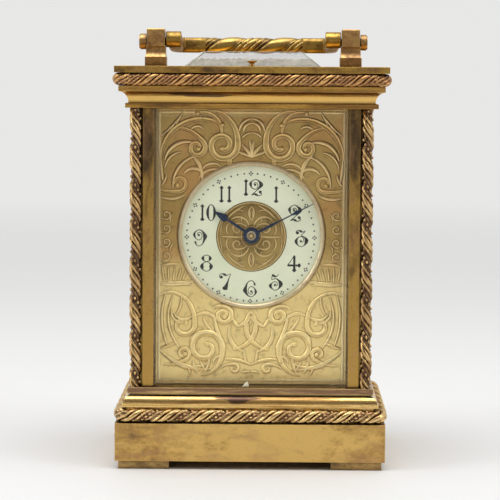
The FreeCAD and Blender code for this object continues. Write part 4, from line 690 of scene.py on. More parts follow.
BASE_ROPE = Rope(12.57, 2.45, 1.12, [(0.0, 0.060, -0.05, 0.0), (0.225, 0.122, 0.0, 0.0),
                                     (0.445, 0.064, -0.08, 0.22), (0.80, 0.075, -0.50, 0.0),
                                     (0.905, 0.035, -0.60, 0.0)],
                 1.05, beads=[(0.625, -0.13, 0.60, 0.66)], round_by=0.95)
CROWN_ROPE = Rope(12.57, 2.3, 1.05, [(0.03, 0.052, 0.0, 0.0), (0.225, 0.110, 0.0, 0.0),
                                     (0.435, 0.064, 0.0, 0.20), (0.60, 0.060, -0.22, 0.25),
                                     (0.745, 0.055, -0.30, 0.0), (0.885, 0.065, -0.22, 0.22)],
                  0.85, beads=[(0.665, 0.05, 0.70, 0.42)], round_by=0.75)
COLUMN_ROPE = Rope(13.6, 2.15, -1.02, [(-0.01, 0.064, -0.03, 0.0), (0.195, 0.125, 0.0, 0.0),
                                       (0.40, 0.062, -0.03, 0.0), (0.515, 0.040, -0.55, 0.0),
                                       (0.81, 0.055, -0.55, 0.0)],
                   0.90, beads=[(0.66, 0.0, 0.72, 0.70)], round_by=0.80)

base_rope = rope_round_case("base_rope_twist", ROPE_LOW, ROPE_HIGH, BASE_ROPE, base_rope_brass,
                            spot=-32.4, phase=0.0)
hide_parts("base_rope")
crown_rope = rope_round_case("crown_rope_twist", CROWN_LOW, CROWN_HIGH, CROWN_ROPE,
                             crown_rope_brass, spot=-24.1, phase=0.225)
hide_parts("top_rope")


def straight_rope(start, end, outward, rope, step, columns, phase):
    """Points, faces and crests of a rope along a straight line."""
    start, end = np.array(start, float), np.array(end, float)
    length = np.linalg.norm(end - start)
    direction = (end - start) / length
    rows = int(length / step) + 1
    along = np.linspace(0, length, rows)
    angles = np.linspace(-math.pi, math.pi, columns, endpoint=False)
    depth, crest = rope.relief(along[:, None] / rope.repeat + phase, angles[None, :])
    outward = np.array(outward, float)
    sideways = np.cross(direction, outward)
    points, faces = tube(start + along[:, None] * direction, np.tile(outward, (rows, 1)),
                         np.tile(sideways, (rows, 1)), rope.radius + depth, closed=False)
    return points, faces, crest


BEAD_LEVEL = 115.6


def columns_of_rope():
    """Four columns, each with a bead facing outwards at BEAD_LEVEL."""
    radius = COLUMN_ROPE.radius
    bead = COLUMN_ROPE.beads[0][0]
    phase = bead - (BEAD_LEVEL - COLUMN_LOW.z) / COLUMN_ROPE.repeat
    parts = []
    for x in (COLUMN_LOW.x + radius, COLUMN_HIGH.x - radius):
        for y, out in ((COLUMN_LOW.y + radius, -1), (COLUMN_HIGH.y - radius, 1)):
            parts.append(straight_rope((x, y, COLUMN_LOW.z), (x, y, COLUMN_HIGH.z), (0, out, 0),
                                       COLUMN_ROPE, 0.26, 44, phase))
    points, faces, crest = join_parts(parts)
    obj = piece("rope_column_twists", points, faces, column_brass, "case", sharp=75,
                crest=crest)
    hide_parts("rope_columns")


columns_of_rope()


# ---------------------------------------------------------------- handle

def superellipse(half_wide, half_high, power, count):
    """Round-cornered section of a bar."""
    angles = np.linspace(-math.pi, math.pi, count, endpoint=False)
    cosines, sines = np.cos(angles), np.sin(angles)
    return (half_wide * np.sign(cosines) * np.abs(cosines) ** (2 / power),
            half_high * np.sign(sines) * np.abs(sines) ** (2 / power))


def lathe(profile, centre, axis, sides=40):
    """Points and faces of a turned piece: profile rows are (along, radius)."""
    axis = np.array(axis, float)
    first = np.array((0, 0, 1.0)) if abs(axis[2]) < 0.5 else np.array((1.0, 0, 0))
    second = np.cross(axis, first)
    angles = np.linspace(0, 2 * math.pi, sides, endpoint=False)
    points = [np.array(centre) + axis * along + radius * (first * math.cos(a) + second * math.sin(a))
              for along, radius in profile for a in angles]
    return np.array(points), grid_faces(len(profile), sides) + ends(len(profile), sides)


PIVOT_LEVEL = JOINT["handle_fold"]["pos_m"][2] / MM
# At rest the bail lies back with a droop, and its bar's middle is a rise above the pivot.
DROOP = math.radians(3.5)
RISE = 0.85
BAR_HALF = 2.9
BAR_BEND = 3.3
ARM_X = BAIL_HIGH.x - BAR_HALF
REACH = 31.0
BOSS_RADIUS = 3.0
BOSS_INSET = 0.12
GRIP_HALF = 19.7


def tilted(points):
    """From the bail's own frame, reach along +Y, to its place at rest."""
    points = np.asarray(points, float) + (0, 0, RISE)
    y = points[:, 1] * math.cos(DROOP) + points[:, 2] * math.sin(DROOP)
    z = points[:, 2] * math.cos(DROOP) - points[:, 1] * math.sin(DROOP)
    return np.column_stack([points[:, 0], y, z + PIVOT_LEVEL])


def bail_path():
    """Rows (x, y, out x, out y) along the right arm, its bend and half of the bar."""
    x, y = ARM_X - BAR_BEND, REACH - BAR_BEND
    rows = [(ARM_X, along, 1, 0) for along in np.linspace(0, y, 24)]
    for turn in np.linspace(0, math.pi / 2, 12)[1:]:
        out = math.cos(turn), math.sin(turn)
        rows.append((x + BAR_BEND * out[0], y + BAR_BEND * out[1], *out))
    rows += [(along, REACH, 0, 1) for along in np.linspace(x, GRIP_HALF - 1, 12)[1:]]
    return np.array(rows)


def bail_half():
    """The right arm with its boss, and half of the bar."""
    rows = bail_path()
    wide, high = superellipse(BAR_HALF, BAR_HALF, 3.2, 36)
    points = [(x + ox * w, y + oy * w, h)
              for (x, y, ox, oy) in rows for w, h in zip(wide, high)]
    faces = grid_faces(len(rows), len(wide)) + ends(len(rows), len(wide))
    rim = BOSS_RADIUS - 0.2
    boss = lathe([(BOSS_INSET - BAR_HALF, rim), (0.3 - BAR_HALF, BOSS_RADIUS),
                  (BAR_HALF - 0.2, BOSS_RADIUS), (BAR_HALF, rim)], (ARM_X, 0, 0), (1, 0, 0))
    return join_parts([(np.array(points), faces, np.zeros(len(points))),
                       (*boss, np.zeros(len(boss[0])))])


half_bail = bail_half()
points, faces, _ = join_parts([half_bail, mirrored(half_bail)])
bail = piece("handle_bail_bar", tilted(points), faces, bail_brass, "handle")
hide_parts("handle_bail")

GRIP_ROPE = Rope(20.0, 3.15, -0.84, [(0.25, 0.215, 0.0, 0.0), (0.50, 0.035, -0.45, 0.0),
                                    (0.588, 0.050, -0.20, 0.0), (0.718, 0.076, -0.15, 0.0),
                                    (0.855, 0.052, -0.20, 0.0), (0.955, 0.036, -0.45, 0.0)],
                 1.15, beads=[(0.718, 0.9, 0.75, 0.7)], round_by=0.9)


LOBE_X = -11.6


def rope_grip():
    """Two long lobes, the left one at LOBE_X, with three thinner strands between them."""
    lobe = GRIP_ROPE.strands[0][0]
    phase = lobe - (GRIP_HALF + LOBE_X) / GRIP_ROPE.repeat
    points, faces, crest = straight_rope((-GRIP_HALF, REACH, 0), (GRIP_HALF, REACH, 0), (0, -1, 0),
                                         GRIP_ROPE, 0.25, 48, phase)
    return piece("handle_grip_twist", tilted(points), faces, grip_brass, "handle",
                 sharp=75, crest=crest)


rope_grip()


# ---------------------------------------------------------------- dial mask

# Sections of (across, rise, crest); the materials paint shadow where the crest is low and a highlight
# where it is high.
BAND = [(-1, -0.1, 0), (-1, 0.25, 0.15), (-0.84, 0.75, 0.75), (-0.62, 1.0, 1.0), (-0.34, 0.72, 0.6),
        (0.34, 0.72, 0.6), (0.62, 1.0, 1.0), (0.84, 0.75, 0.75), (1, 0.25, 0.15), (1, -0.1, 0)]
CORD = [(-1, -0.1, 0), (-1, 0.2, 0.15), (-0.72, 0.72, 0.75), (-0.3, 0.98, 1.0), (0.3, 0.98, 1.0),
        (0.72, 0.72, 0.75), (1, 0.2, 0.15), (1, -0.1, 0)]

BORDER_X = 33.5
RELIEF = 0.6


def bow(x, z, heading, length, bend, width=1.2, haste=1.0):
    """Rows (x, z, width) of a leaf that sets out at a heading and bends as it goes, in degrees."""
    along = np.linspace(0, 1, max(9, round(length * 2.5)))
    course = np.radians(heading + bend * along ** haste)
    middle = (course[1:] + course[:-1]) / 2
    stride = length / (len(along) - 1)
    out = np.concatenate([[0], np.cumsum(np.cos(middle))]) * stride
    up = np.concatenate([[0], np.cumsum(np.sin(middle))]) * stride
    return np.column_stack([x + out, z + up, width * (0.45 + 0.55 * np.sin(math.pi * along))])


def volute(x, z, reach, start, turns, length, bend, width=2.2):
    """Rows of a scroll wound onto an eye at (x, z), with a tail that leaves its outer end.

    The tail joins at the angle start, and turns is negative for a clockwise winding.
    """
    along = np.linspace(0, 1, round(44 * abs(turns)))
    angle = np.radians(start + 360 * turns * along)
    radius = reach * (1 - 0.75 * along ** 1.3)
    spiral = np.column_stack([x + radius * np.cos(angle), z + radius * np.sin(angle),
                              width * (1 - 0.35 * along)])
    tail = bow(*spiral[0, :2], start - math.copysign(90, turns), length, bend, width, 1.4)[::-1]
    tail[:, 2] = width * np.linspace(0.35, 1, len(tail))
    return np.vstack([tail[:-1], spiral])


def upper_scrolls():
    """Left half of the ornament above the dial: two volutes under a sweep, and a palmette."""
    strokes = [volute(-10.5, 116.5, 5.4, 0, -1.3, 19, 105, 2.6),
               volute(-20, 115.5, 3.2, 40, -1.2, 12, 60),
               volute(-26.5, 102.5, 3, -90, 0.9, 7, -15, 1.8),
               bow(-33, 111, 90, 31, -120, 2.1), bow(-33, 111, -90, 9, 15, 1.4),
               bow(-11, 120, 80, 14, 115, 1.9), bow(-31.5, 111, 80, 14, -100, 1.7),
               bow(-28.5, 101, 95, 16, -85, 1.4), bow(-31.5, 108, 85, 9, -80),
               bow(-24.5, 106, 60, 9, -130, 1.5), bow(-22, 113, -40, 11, -55, 1.7),
               bow(-18, 107.5, 60, 8, -100), bow(-19, 104.5, 60, 9, -80),
               bow(-8, 112, -90, 2.5, 0, 2), bow(-22, 122, 60, 5, -110),
               bow(-33, 101.5, 45, 5, 40)]
    strokes += [bow(-33 + 1.8 * n, 119.5 + 1.2 * n, 45 + 9 * n, 6.5, -18, 0.9) for n in range(4)]
    strokes += [bow(-radius, 121.5, 90, radius * math.pi / 2, -90, 1.2) for radius in (4.5, 3)]
    strokes += [bow(0, 112, fan, 6, 15, 1.4) for fan in (90, 120, 150)]
    strokes.append(bow(-3.5, 119, 60, 4.2, -60, 1))
    return strokes


def side_scrolls():
    """Left strip beside the dial: a stack of small curls between two ties."""
    strokes = [volute(-31, level, 1.6, -90, 0.9, 2.5, -30, 0.9) for level in (76, 81, 86, 91)]
    strokes += [bow(-29.5, level, 100, 3.5, -60, 0.8) for level in (77.5, 88.5)]
    strokes += [bow(-33, 97.5, -20, 9, 50, 1.3), bow(-33, 72.5, 15, 7, -20, 1)]
    strokes += [bow(-31.5 + 1.6 * n, 67, 105 - 9 * n, 5, -10 + 2 * n, 0.9) for n in range(5)]
    return strokes


def lower_scrolls():
    """Left half below the dial: a long leaf, a great volute and half of a pointed drop."""
    strokes = [volute(-24.5, 51, 4, 0, -0.9, 21, 125, 2.1),
               volute(-16.5, 42.5, 6.2, 0, 1.2, 14, -95, 2.5),
               volute(-10, 54.5, 3, 60, -1.3, 6, 80, 2.2),
               volute(-24.5, 40.5, 2.3, -60, 1.1, 9, -40, 1.8),
               volute(-6, 35, 1.7, 90, -1, 6, 45, 1.4),
               bow(-33, 66, -5, 12.5, 20, 1.7), bow(-30.5, 67, -20, 9, 25, 0.9),
               bow(-31, 62.5, -110, 20, 45, 1.1), bow(-28.5, 61.5, -115, 20, 65, 1.1),
               bow(-25.5, 62, -80, 8, -50, 1), bow(-29, 56.5, -100, 9, 130, 1.1),
               bow(-28, 55, -60, 8, 110, 1.3), bow(-33, 41.5, -45, 20, 50, 1.7),
               bow(-28, 37, -30, 13, 60, 1.4), bow(-33, 42.5, 10, 6.5, 20),
               bow(-22, 45.5, 60, 9, -90, 1.4), bow(-21, 38, -90, 5, 40),
               bow(-15, 40, -90, 7, -30, 1.2), bow(-13.5, 37, 95, 5, -130),
               bow(-13.5, 55, -85, 13, 30, 1.5), bow(-20, 54.5, 30, 9, -90, 1.4),
               bow(-17.5, 54, -75, 6.5, 40, 1.1), bow(-7, 54, -65, 4.5, 20, 1.4),
               bow(-5, 50.5, 15, 6.5, 45, 1.5), bow(-7.5, 50.5, -110, 12, 100, 1.6),
               bow(0, 56, -128, 18, 122, 1.9), bow(-0.5, 52, -115, 8, 70, 1.1),
               bow(-9.5, 38.5, 5, 10, -35, 1.3), bow(-2.5, 42, -85, 5.5, 10, 1.1),
               bow(-3, 33.6, 15, 3, -15, 1)]
    strokes += [bow(-18.5 - 2.2 * n, 38 - 0.8 * n, -70 - 6 * n, 4, 20, 0.9) for n in range(3)]
    return strokes


def scroll_parts(strokes):
    """Raised strips along the strokes, on both halves; the broad ones end in a round eye."""
    parts = []
    for path in strokes:
        section = BAND if path[:, 2].max() >= 1.8 else CORD
        part = ribbon(path, section, MASK_FRONT, RELIEF, moat=0.20)
        parts += [part, mirrored(part)]
        if section is BAND:
            eye = disc(path[-1, 0], path[-1, 1], 0.9, MASK_FRONT, 0.45, 18, 0.3)
            parts += [eye, mirrored(eye)]
    return parts


def border_parts():
    """Plain strip round the mask."""
    low, high = MASK_LOW.z + 1.2, MASK_HIGH.z - 1.2
    loop = [(-BORDER_X, low), (BORDER_X, low), (BORDER_X, high), (-BORDER_X, high)]
    parts = []
    for start, end in zip(loop, loop[1:] + loop[:1]):
        steps = np.linspace(0, 1, 24)[:, None]
        line = np.array(start) * (1 - steps) + np.array(end) * steps
        parts.append(ribbon(np.column_stack([line, np.full(24, 1.0)]), CORD, MASK_FRONT, 0.15))
    return parts


points, faces, crest = join_parts(scroll_parts(upper_scrolls() + side_scrolls() + lower_scrolls())
                                  + border_parts())
piece("mask_scrollwork", points, faces, mask_relief, "case", sharp=50, crest=crest)


# ---------------------------------------------------------------- centre disc

def disc_scrolls():
    """Left half of a rosette: petals up and down, and volutes and leaves round the hub."""
    strokes = []
    for side in (1, -1):
        strokes += [volute(-5, side * 2.8, 1.9, side * 90, side * 0.9, 4, -side * 60, 0.9),
                    bow(0, side * 11, side * 230, 5.5, side * 80, 0.8),
                    bow(-1, side * 4, side * 100, 8.5, side * 130, 0.9),
                    bow(-2.5, side * 11.2, side * 205, 8, side * 25, 0.8),
                    bow(-7.5, side * 5.5, side * 215, 5.5, side * 90, 0.8),
                    bow(0, side * 9.4, side * 230, 2.4, side * 75, 0.5),
                    bow(-10.4, side * 5.4, side * 250, 5, side * 25, 0.6),
                    bow(-5.4, side * 9.2, side * 40, 3, -side * 90, 0.5),
                    bow(-3.8, side * 5.2, side * 60, 2.4, side * 70, 0.5)]
    strokes.append(bow(-2.8, 0, 185, 8, -10, 0.9))
    return strokes


def flat_ring(outer, outer_level, inner, inner_level, front, back, round_by):
    """A ring with rounded front edges, whose hole may be off centre."""
    angles = np.linspace(0, 2 * math.pi, 180, endpoint=False)
    rows = [(outer, outer_level, back), (outer, outer_level, front - round_by),
            (outer - round_by * 0.3, outer_level, front - round_by * 0.3),
            (outer - round_by, outer_level, front), (inner + round_by, inner_level, front),
            (inner + round_by * 0.3, inner_level, front - round_by * 0.3),
            (inner, inner_level, front - round_by), (inner, inner_level, back)]
    points = [(radius * math.cos(a), -depth, level + radius * math.sin(a))
              for radius, level, depth in rows for a in angles]
    return np.array(points), grid_faces(len(rows), len(angles), closed_rows=True)


def disc_parts():
    """The rosette on both halves, with a ring round its edge and one round the hub."""
    parts = []
    for path in disc_scrolls():
        part = ribbon(path + (0, DISC_LEVEL, 0), CORD, DISC_FRONT, 0.4, moat=0.12)
        parts += [part, mirrored(part)]
    angles = np.linspace(0, 2 * math.pi, 120, endpoint=False)
    for radius, width in ((DISC_RADIUS - 0.4, 0.5), (3.6, 0.4)):
        ring = np.column_stack([radius * np.cos(angles), DISC_LEVEL + radius * np.sin(angles),
                                np.full(120, width)])
        parts.append(ribbon(ring, CORD, DISC_FRONT, 0.25, closed=True))
    return parts


DISC_GAP = 0.12
HUB_HOLE = 2.4

points, faces = flat_ring(CHAPTER_HIGH.x, DIAL_LEVEL, DISC_RADIUS + DISC_GAP, DISC_LEVEL,
                          CHAPTER_FRONT, -CHAPTER_HIGH.y, 0.25)
chapter = piece("chapter_ring_enamel", points, faces, enamel, "case", sharp=60)
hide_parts("chapter_ring")
points, faces = flat_ring(DISC_RADIUS, DISC_LEVEL, HUB_HOLE, DIAL_LEVEL, DISC_FRONT, -DISC_HIGH.y,
                          0.2)
centre = piece("centre_disc_plate", points, faces, disc_ground, "case", sharp=60)
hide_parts("dial_centre")

points, faces, crest = join_parts(disc_parts())
piece("centre_scrollwork", points, faces, disc_relief, "case", sharp=50, crest=crest)


# ---------------------------------------------------------------- numerals and minute track

# Digits one high and centred on x = 0: strokes of (x, z, width), and round dots of (x, z, radius).
NINE = [[(-0.34, 0.69, 0.15), (-0.27, 0.85, 0.07), (-0.06, 0.985, 0.045), (0.14, 0.90, 0.08),
         (0.28, 0.68, 0.20), (0.31, 0.58, 0.25), (0.27, 0.42, 0.15), (0.16, 0.14, 0.06),
         (-0.04, 0.015, 0.045), (-0.20, 0.09, 0.06), (-0.28, 0.30, 0.13)],
        [(-0.34, 0.72, 0.15), (-0.31, 0.60, 0.11), (-0.22, 0.45, 0.05), (-0.06, 0.37, 0.045),
         (0.08, 0.46, 0.04), (0.13, 0.63, 0.04), (0.08, 0.78, 0.04), (-0.04, 0.83, 0.04),
         (-0.13, 0.78, 0.04), (-0.15, 0.68, 0.04)]]
NINE_DOTS = [(-0.06, 0.665, 0.07)]
GLYPH_STROKES = {
    "1": [[(0, 1.0, 0.03), (0, 0.94, 0.13), (0, 0.88, 0.26), (0, 0.83, 0.13), (0, 0.79, 0.11),
           (0, 0.5, 0.11), (0, 0.21, 0.11), (0, 0.16, 0.14), (0, 0.10, 0.28), (0, 0.04, 0.18),
           (0, 0.0, 0.04)]],
    "2": [[(-0.24, 0.60, 0.05), (-0.31, 0.70, 0.17), (-0.24, 0.87, 0.06), (0.0, 0.985, 0.045),
           (0.20, 0.86, 0.10), (0.32, 0.68, 0.24), (0.22, 0.50, 0.12), (0.06, 0.33, 0.05),
           (-0.10, 0.18, 0.05), (-0.24, 0.05, 0.07)],
          [(-0.31, 0.68, 0.14), (-0.24, 0.50, 0.06), (-0.06, 0.40, 0.045), (0.08, 0.46, 0.04),
           (0.13, 0.62, 0.04), (0.08, 0.76, 0.04), (-0.03, 0.80, 0.04), (-0.12, 0.74, 0.04)],
          [(-0.24, 0.05, 0.04), (-0.08, 0.11, 0.08), (0.03, 0.08, 0.14), (0.16, 0.02, 0.05),
           (0.31, 0.06, 0.05), (0.35, 0.18, 0.06)]],
    "3": [[(-0.32, 0.84, 0.04), (-0.28, 0.95, 0.04), (-0.16, 0.99, 0.05), (-0.03, 0.93, 0.14),
           (0.08, 0.89, 0.05), (0.24, 0.96, 0.04), (0.13, 0.82, 0.04), (0.0, 0.69, 0.045),
           (0.20, 0.56, 0.09), (0.31, 0.37, 0.23), (0.20, 0.12, 0.07), (0.0, 0.015, 0.045),
           (-0.20, 0.11, 0.06), (-0.31, 0.33, 0.18), (-0.20, 0.54, 0.06), (-0.02, 0.62, 0.04),
           (0.12, 0.53, 0.04), (0.14, 0.38, 0.04), (0.04, 0.27, 0.04)]],
    "4": [[(0, 1.0, 0.05), (0, 0.94, 0.14), (0, 0.5, 0.13), (0, 0.22, 0.13), (0, 0.10, 0.27),
           (0, 0.0, 0.05)],
          [(-0.42, 0.40, 0.03), (-0.36, 0.40, 0.13), (0.0, 0.40, 0.11), (0.20, 0.40, 0.11),
           (0.29, 0.40, 0.28), (0.40, 0.40, 0.03)],
          [(-0.03, 0.95, 0.04), (-0.20, 0.68, 0.04), (-0.40, 0.41, 0.05)]],
    "5": [[(-0.21, 0.97, 0.04), (-0.16, 0.91, 0.13), (-0.06, 0.85, 0.12), (0.07, 0.85, 0.05),
           (0.18, 0.97, 0.03)],
          [(-0.20, 0.92, 0.04), (-0.22, 0.66, 0.045), (-0.02, 0.71, 0.045), (0.17, 0.61, 0.10),
           (0.31, 0.39, 0.24), (0.20, 0.14, 0.08), (0.0, 0.015, 0.045), (-0.20, 0.10, 0.06),
           (-0.31, 0.28, 0.18), (-0.22, 0.43, 0.06), (-0.05, 0.53, 0.04), (0.09, 0.45, 0.04),
           (0.10, 0.33, 0.04), (0.02, 0.26, 0.04)]],
    "7": [[(-0.33, 0.78, 0.04), (-0.31, 0.91, 0.04), (-0.17, 0.98, 0.05), (0.0, 0.92, 0.14),
           (0.12, 0.89, 0.05), (0.35, 0.97, 0.03), (0.25, 0.74, 0.05), (0.15, 0.45, 0.11),
           (0.05, 0.18, 0.24), (0.0, 0.08, 0.34), (-0.01, 0.0, 0.08)]],
    "9": NINE,
    "6": [[(-x, 1 - z, width) for x, z, width in rows] for rows in NINE],
}
GLYPH_DOTS = {
    "2": [(-0.04, 0.67, 0.07), (0.27, 0.24, 0.09)], "3": [(-0.23, 0.84, 0.09), (-0.03, 0.34, 0.07)],
    "5": [(-0.04, 0.33, 0.07)], "7": [(-0.22, 0.78, 0.09)], "9": NINE_DOTS,
    "6": [(-x, 1 - z, radius) for x, z, radius in NINE_DOTS],
}
# Rings of (middle x, middle z, half wide, half high, thin, thick, how short the thick part is).
GLYPH_RINGS = {"0": [(0, 0.5, 0.21, 0.475, 0.045, 0.16, 3)],
               "8": [(0, 0.79, 0.215, 0.19, 0.045, 0.18, 7), (0, 0.30, 0.27, 0.28, 0.045, 0.22, 7)]}
STRAIGHT = ("1", "4")
# The print is a little off the middle of the hands.
PRINT_X, PRINT_LEVEL = -0.3, DIAL_LEVEL - 1.1
NUMERAL_RADIUS = 18.4
NUMERAL_HIGH = 6.1
MINUTE_RADIUS = 23.2
MINUTE_LIFT = 0.3
INK_RISE = 0.05
PAIR_SPACING = {10: 0.52, 11: 0.46, 12: 0.58}
DOT_RADIUS, SMALL_DOT, DOT_SPREAD = 0.32, 0.29, 0.55


def glyph(digit):
    """Smooth strokes of a digit with whether each is closed, and its dots."""
    strokes = []
    for x, z, half_x, half_z, thin, thick, power in GLYPH_RINGS.get(digit, []):
        angles = np.linspace(0, 2 * math.pi, 56, endpoint=False)
        width = thin + (thick - thin) * np.abs(np.cos(angles)) ** power
        strokes.append((np.column_stack([x + half_x * np.cos(angles), z + half_z * np.sin(angles),
                                         width]), True))
    for rows in GLYPH_STROKES.get(digit, []):
        path = np.array(rows, float) if digit in STRAIGHT else curve_through(rows, 0.04)
        strokes.append((path, False))
    return strokes, GLYPH_DOTS.get(digit, [])


INK_SECTION = [(-1, -0.4, 0), (-1, 1.0, 0), (1, 1.0, 0), (1, -0.4, 0)]


def numeral_parts():
    """The twelve hours, upright round the ring."""
    parts = []
    for hour in range(1, 13):
        angle = math.radians(30 * hour)
        middle_x = PRINT_X + NUMERAL_RADIUS * math.sin(angle)
        middle_z = PRINT_LEVEL + NUMERAL_RADIUS * math.cos(angle)
        digits = str(hour)
        spacing = PAIR_SPACING.get(hour, 0)
        for place, digit in enumerate(digits):
            shift = (place - (len(digits) - 1) / 2) * spacing
            strokes, dots = glyph(digit)
            for rows, closed in strokes:
                path = np.column_stack([middle_x + (rows[:, 0] + shift) * NUMERAL_HIGH,
                                        middle_z + (rows[:, 1] - 0.5) * NUMERAL_HIGH,
                                        rows[:, 2] * NUMERAL_HIGH])
                parts.append(ribbon(path, INK_SECTION, CHAPTER_FRONT, INK_RISE, closed=closed))
            for x, z, radius in dots:
                parts.append(disc(middle_x + (x + shift) * NUMERAL_HIGH,
                                  middle_z + (z - 0.5) * NUMERAL_HIGH, radius * NUMERAL_HIGH,
                                  CHAPTER_FRONT, INK_RISE))
    return parts


def minute_parts():
    """A dot for each minute and four small ones at every fifth."""
    parts = []
    for minute in range(60):
        angle = math.radians(6 * minute)
        spots, size = [(0, 0)], DOT_RADIUS
        if minute % 5 == 0:
            spots, size = [(0, 1), (1, 0), (0, -1), (-1, 0)], SMALL_DOT
        for across, out in np.array(spots) * DOT_SPREAD:
            x = PRINT_X + (MINUTE_RADIUS + out) * math.sin(angle) + across * math.cos(angle)
            z = (PRINT_LEVEL + MINUTE_LIFT + (MINUTE_RADIUS + out) * math.cos(angle)
                 - across * math.sin(angle))
            parts.append(disc(x, z, size, CHAPTER_FRONT, INK_RISE, 10))
    return parts


points, faces, _ = join_parts(numeral_parts() + minute_parts())
piece("dial_numerals", points, faces, numeral_ink, "case", sharp=30)


# ---------------------------------------------------------------- bevel of the front glass

PANE_TUCK = 0.9
BEVEL_INSET = PANE_TUCK + 2.7
BEVEL_DEEP = 0.82
SKIN = 0.04


def bevel_band():
    """Thin bright skin on the bevelled edge of the front glass: a painted highlight for the light the
    bevel refracts.
    """
    low, high = corners("front_glass")
    outside = low.y - 0.03
    loops = []
    for inset, front in ((PANE_TUCK, outside + BEVEL_DEEP), (BEVEL_INSET, outside),
                         (BEVEL_INSET, outside + SKIN), (PANE_TUCK, outside + BEVEL_DEEP + SKIN)):
        left, right = low.x + inset, high.x - inset
        foot, head = low.z + inset * 0.9, high.z - inset * 0.9
        loops.append([(left, front, foot), (right, front, foot), (right, front, head),
                      (left, front, head)])
    points = np.array([corner for loop in loops for corner in loop], float)
    return points, grid_faces(4, 4, closed_rows=True)


points, faces = bevel_band()
piece("front_glass_bevel", points, faces, bevel_painted_highlight, "case", sharp=20)


CHIP_OUTLINE = [(-2.9, 0.1), (-2.3, 1.1), (-1.8, 1.6), (-1.2, 2.3), (-0.9, 1.7), (-0.5, 0.9),
                (-0.7, 0.1)]
CHIP_X, CHIP_UP = -1.5, 1.0


def glass_chip():
    """Bruise in the foot of the front glass, as a low faceted mound about (CHIP_X, CHIP_UP)."""
    low, _ = corners("front_glass")
    points = [(x, low.y - 0.02, low.z + up) for x, up in CHIP_OUTLINE]
    points += [(CHIP_X + 0.7 * (x - CHIP_X), low.y - 0.22, low.z + CHIP_UP + 0.7 * (up - CHIP_UP))
               for x, up in CHIP_OUTLINE]
    points.append((CHIP_X, low.y - 0.30, low.z + CHIP_UP + 0.2))
    count = len(CHIP_OUTLINE)
    faces = grid_faces(2, count)
    faces.append(tuple(range(count)))
    faces += [(count + i, count + (i + 1) % count, 2 * count) for i in range(count)]
    return np.array(points), faces


points, faces = glass_chip()
piece("front_glass_chip", points, faces, glass_bruise, "case", sharp=10)


# The bevelled slope of the top glass, across and upwards.
LID_SLOPE = 6.4
LID_RISE = 5.35
FILM_HIGH = 2.7
FILM_PROUD = 0.02
EDGE_SECTION = [(-0.28, -0.10), (-0.16, 0.0), (0.16, 0.0), (0.28, -0.10)]
CLIP_PROFILE = [(0.0, 1.0), (1.0, 0.9), (1.3, 1.1), (1.75, 1.8), (2.0, 2.0), (2.1, 1.8)]
CLIP_X, CLIP_GAP = -0.25, 2.15


def lid_edges():
    """Painted highlights along the edges of the top glass, where they catch the light."""
    low, high = corners("top_glass")
    base = [(low.x, low.y), (high.x, low.y), (high.x, high.y), (low.x, high.y)]
    top = [(x - math.copysign(LID_SLOPE, x), y - math.copysign(LID_SLOPE, y)) for x, y in base]
    foot = high.z - LID_RISE
    lines = []
    for index in range(4):
        lines.append(((*base[index], foot), (*top[index], high.z)))
        lines.append(((*top[index], high.z), (*top[(index + 1) % 4], high.z)))
    parts = []
    for start, end in lines:
        start, end = np.array(start), np.array(end)
        along = (end - start) / np.linalg.norm(end - start)
        side = np.cross(along, (0.3, 0.2, 1.0))
        side /= np.linalg.norm(side)
        up = np.cross(side, along)
        points = [place + side * across + up * lift
                  for place in (start + along * 0.3, end - along * 0.3)
                  for across, lift in EDGE_SECTION]
        faces = grid_faces(2, 4) + [(0, 1, 2, 3), (4, 5, 6, 7)]
        parts.append((np.array(points), faces, np.zeros(8)))
    return join_parts(parts)


def lid_haze_band():
    """Uneven brownish sheet round the foot of the top glass, just proud of its slopes: a painted
    reflection of the brass inside the case.
    """
    _, high = corners("top_glass")
    foot = high.z - LID_RISE
    loop, _ = rounded_loop(high.x, high.y, 0.4, 0.5)
    travelled = loop[:, 4]
    wave = 0.16 * (np.sin(travelled * 0.9) + np.sin(travelled * 2.3 + 1.0)
                   + np.sin(travelled * 0.37))
    points = []
    for up in (np.full(len(loop), 0.08), FILM_HIGH + wave):
        inward = up * LID_SLOPE / LID_RISE
        scale_x, scale_y = 1 - inward / high.x, 1 - inward / high.y
        points.append(np.column_stack([loop[:, 0] * scale_x + loop[:, 2] * FILM_PROUD,
                                       loop[:, 1] * scale_y + loop[:, 3] * FILM_PROUD,
                                       foot + up + FILM_PROUD]))
    inner = [rows - (0, 0, 0.06) for rows in points]
    rings = [points[0], points[1], inner[1], inner[0]]
    return np.concatenate(rings), grid_faces(4, len(loop), closed_rows=True)


def lid_clip():
    """Small mushroom-headed clip in front of the top glass."""
    _, plate = corners("top_plate")
    low, _ = corners("top_glass")
    return lathe(CLIP_PROFILE, (CLIP_X, low.y - CLIP_GAP, plate.z), (0, 0, 1), 28)


points, faces, _ = lid_edges()
piece("top_glass_edges", points, faces, lid_edge_highlight, "case", sharp=20)
points, faces = lid_haze_band()
piece("top_glass_painted_reflection", points, faces, lid_painted_reflection, "case", sharp=20)
points, faces = lid_clip()
piece("top_glass_clip", points, faces, handle_brass, "case", sharp=30)


# ---------------------------------------------------------------- stage, lights and camera

BACKDROP = (0.80, 0.80, 0.795)
FLOOR_GREY = (0.765, 0.765, 0.765)
FLOOR_HALF = 30.0


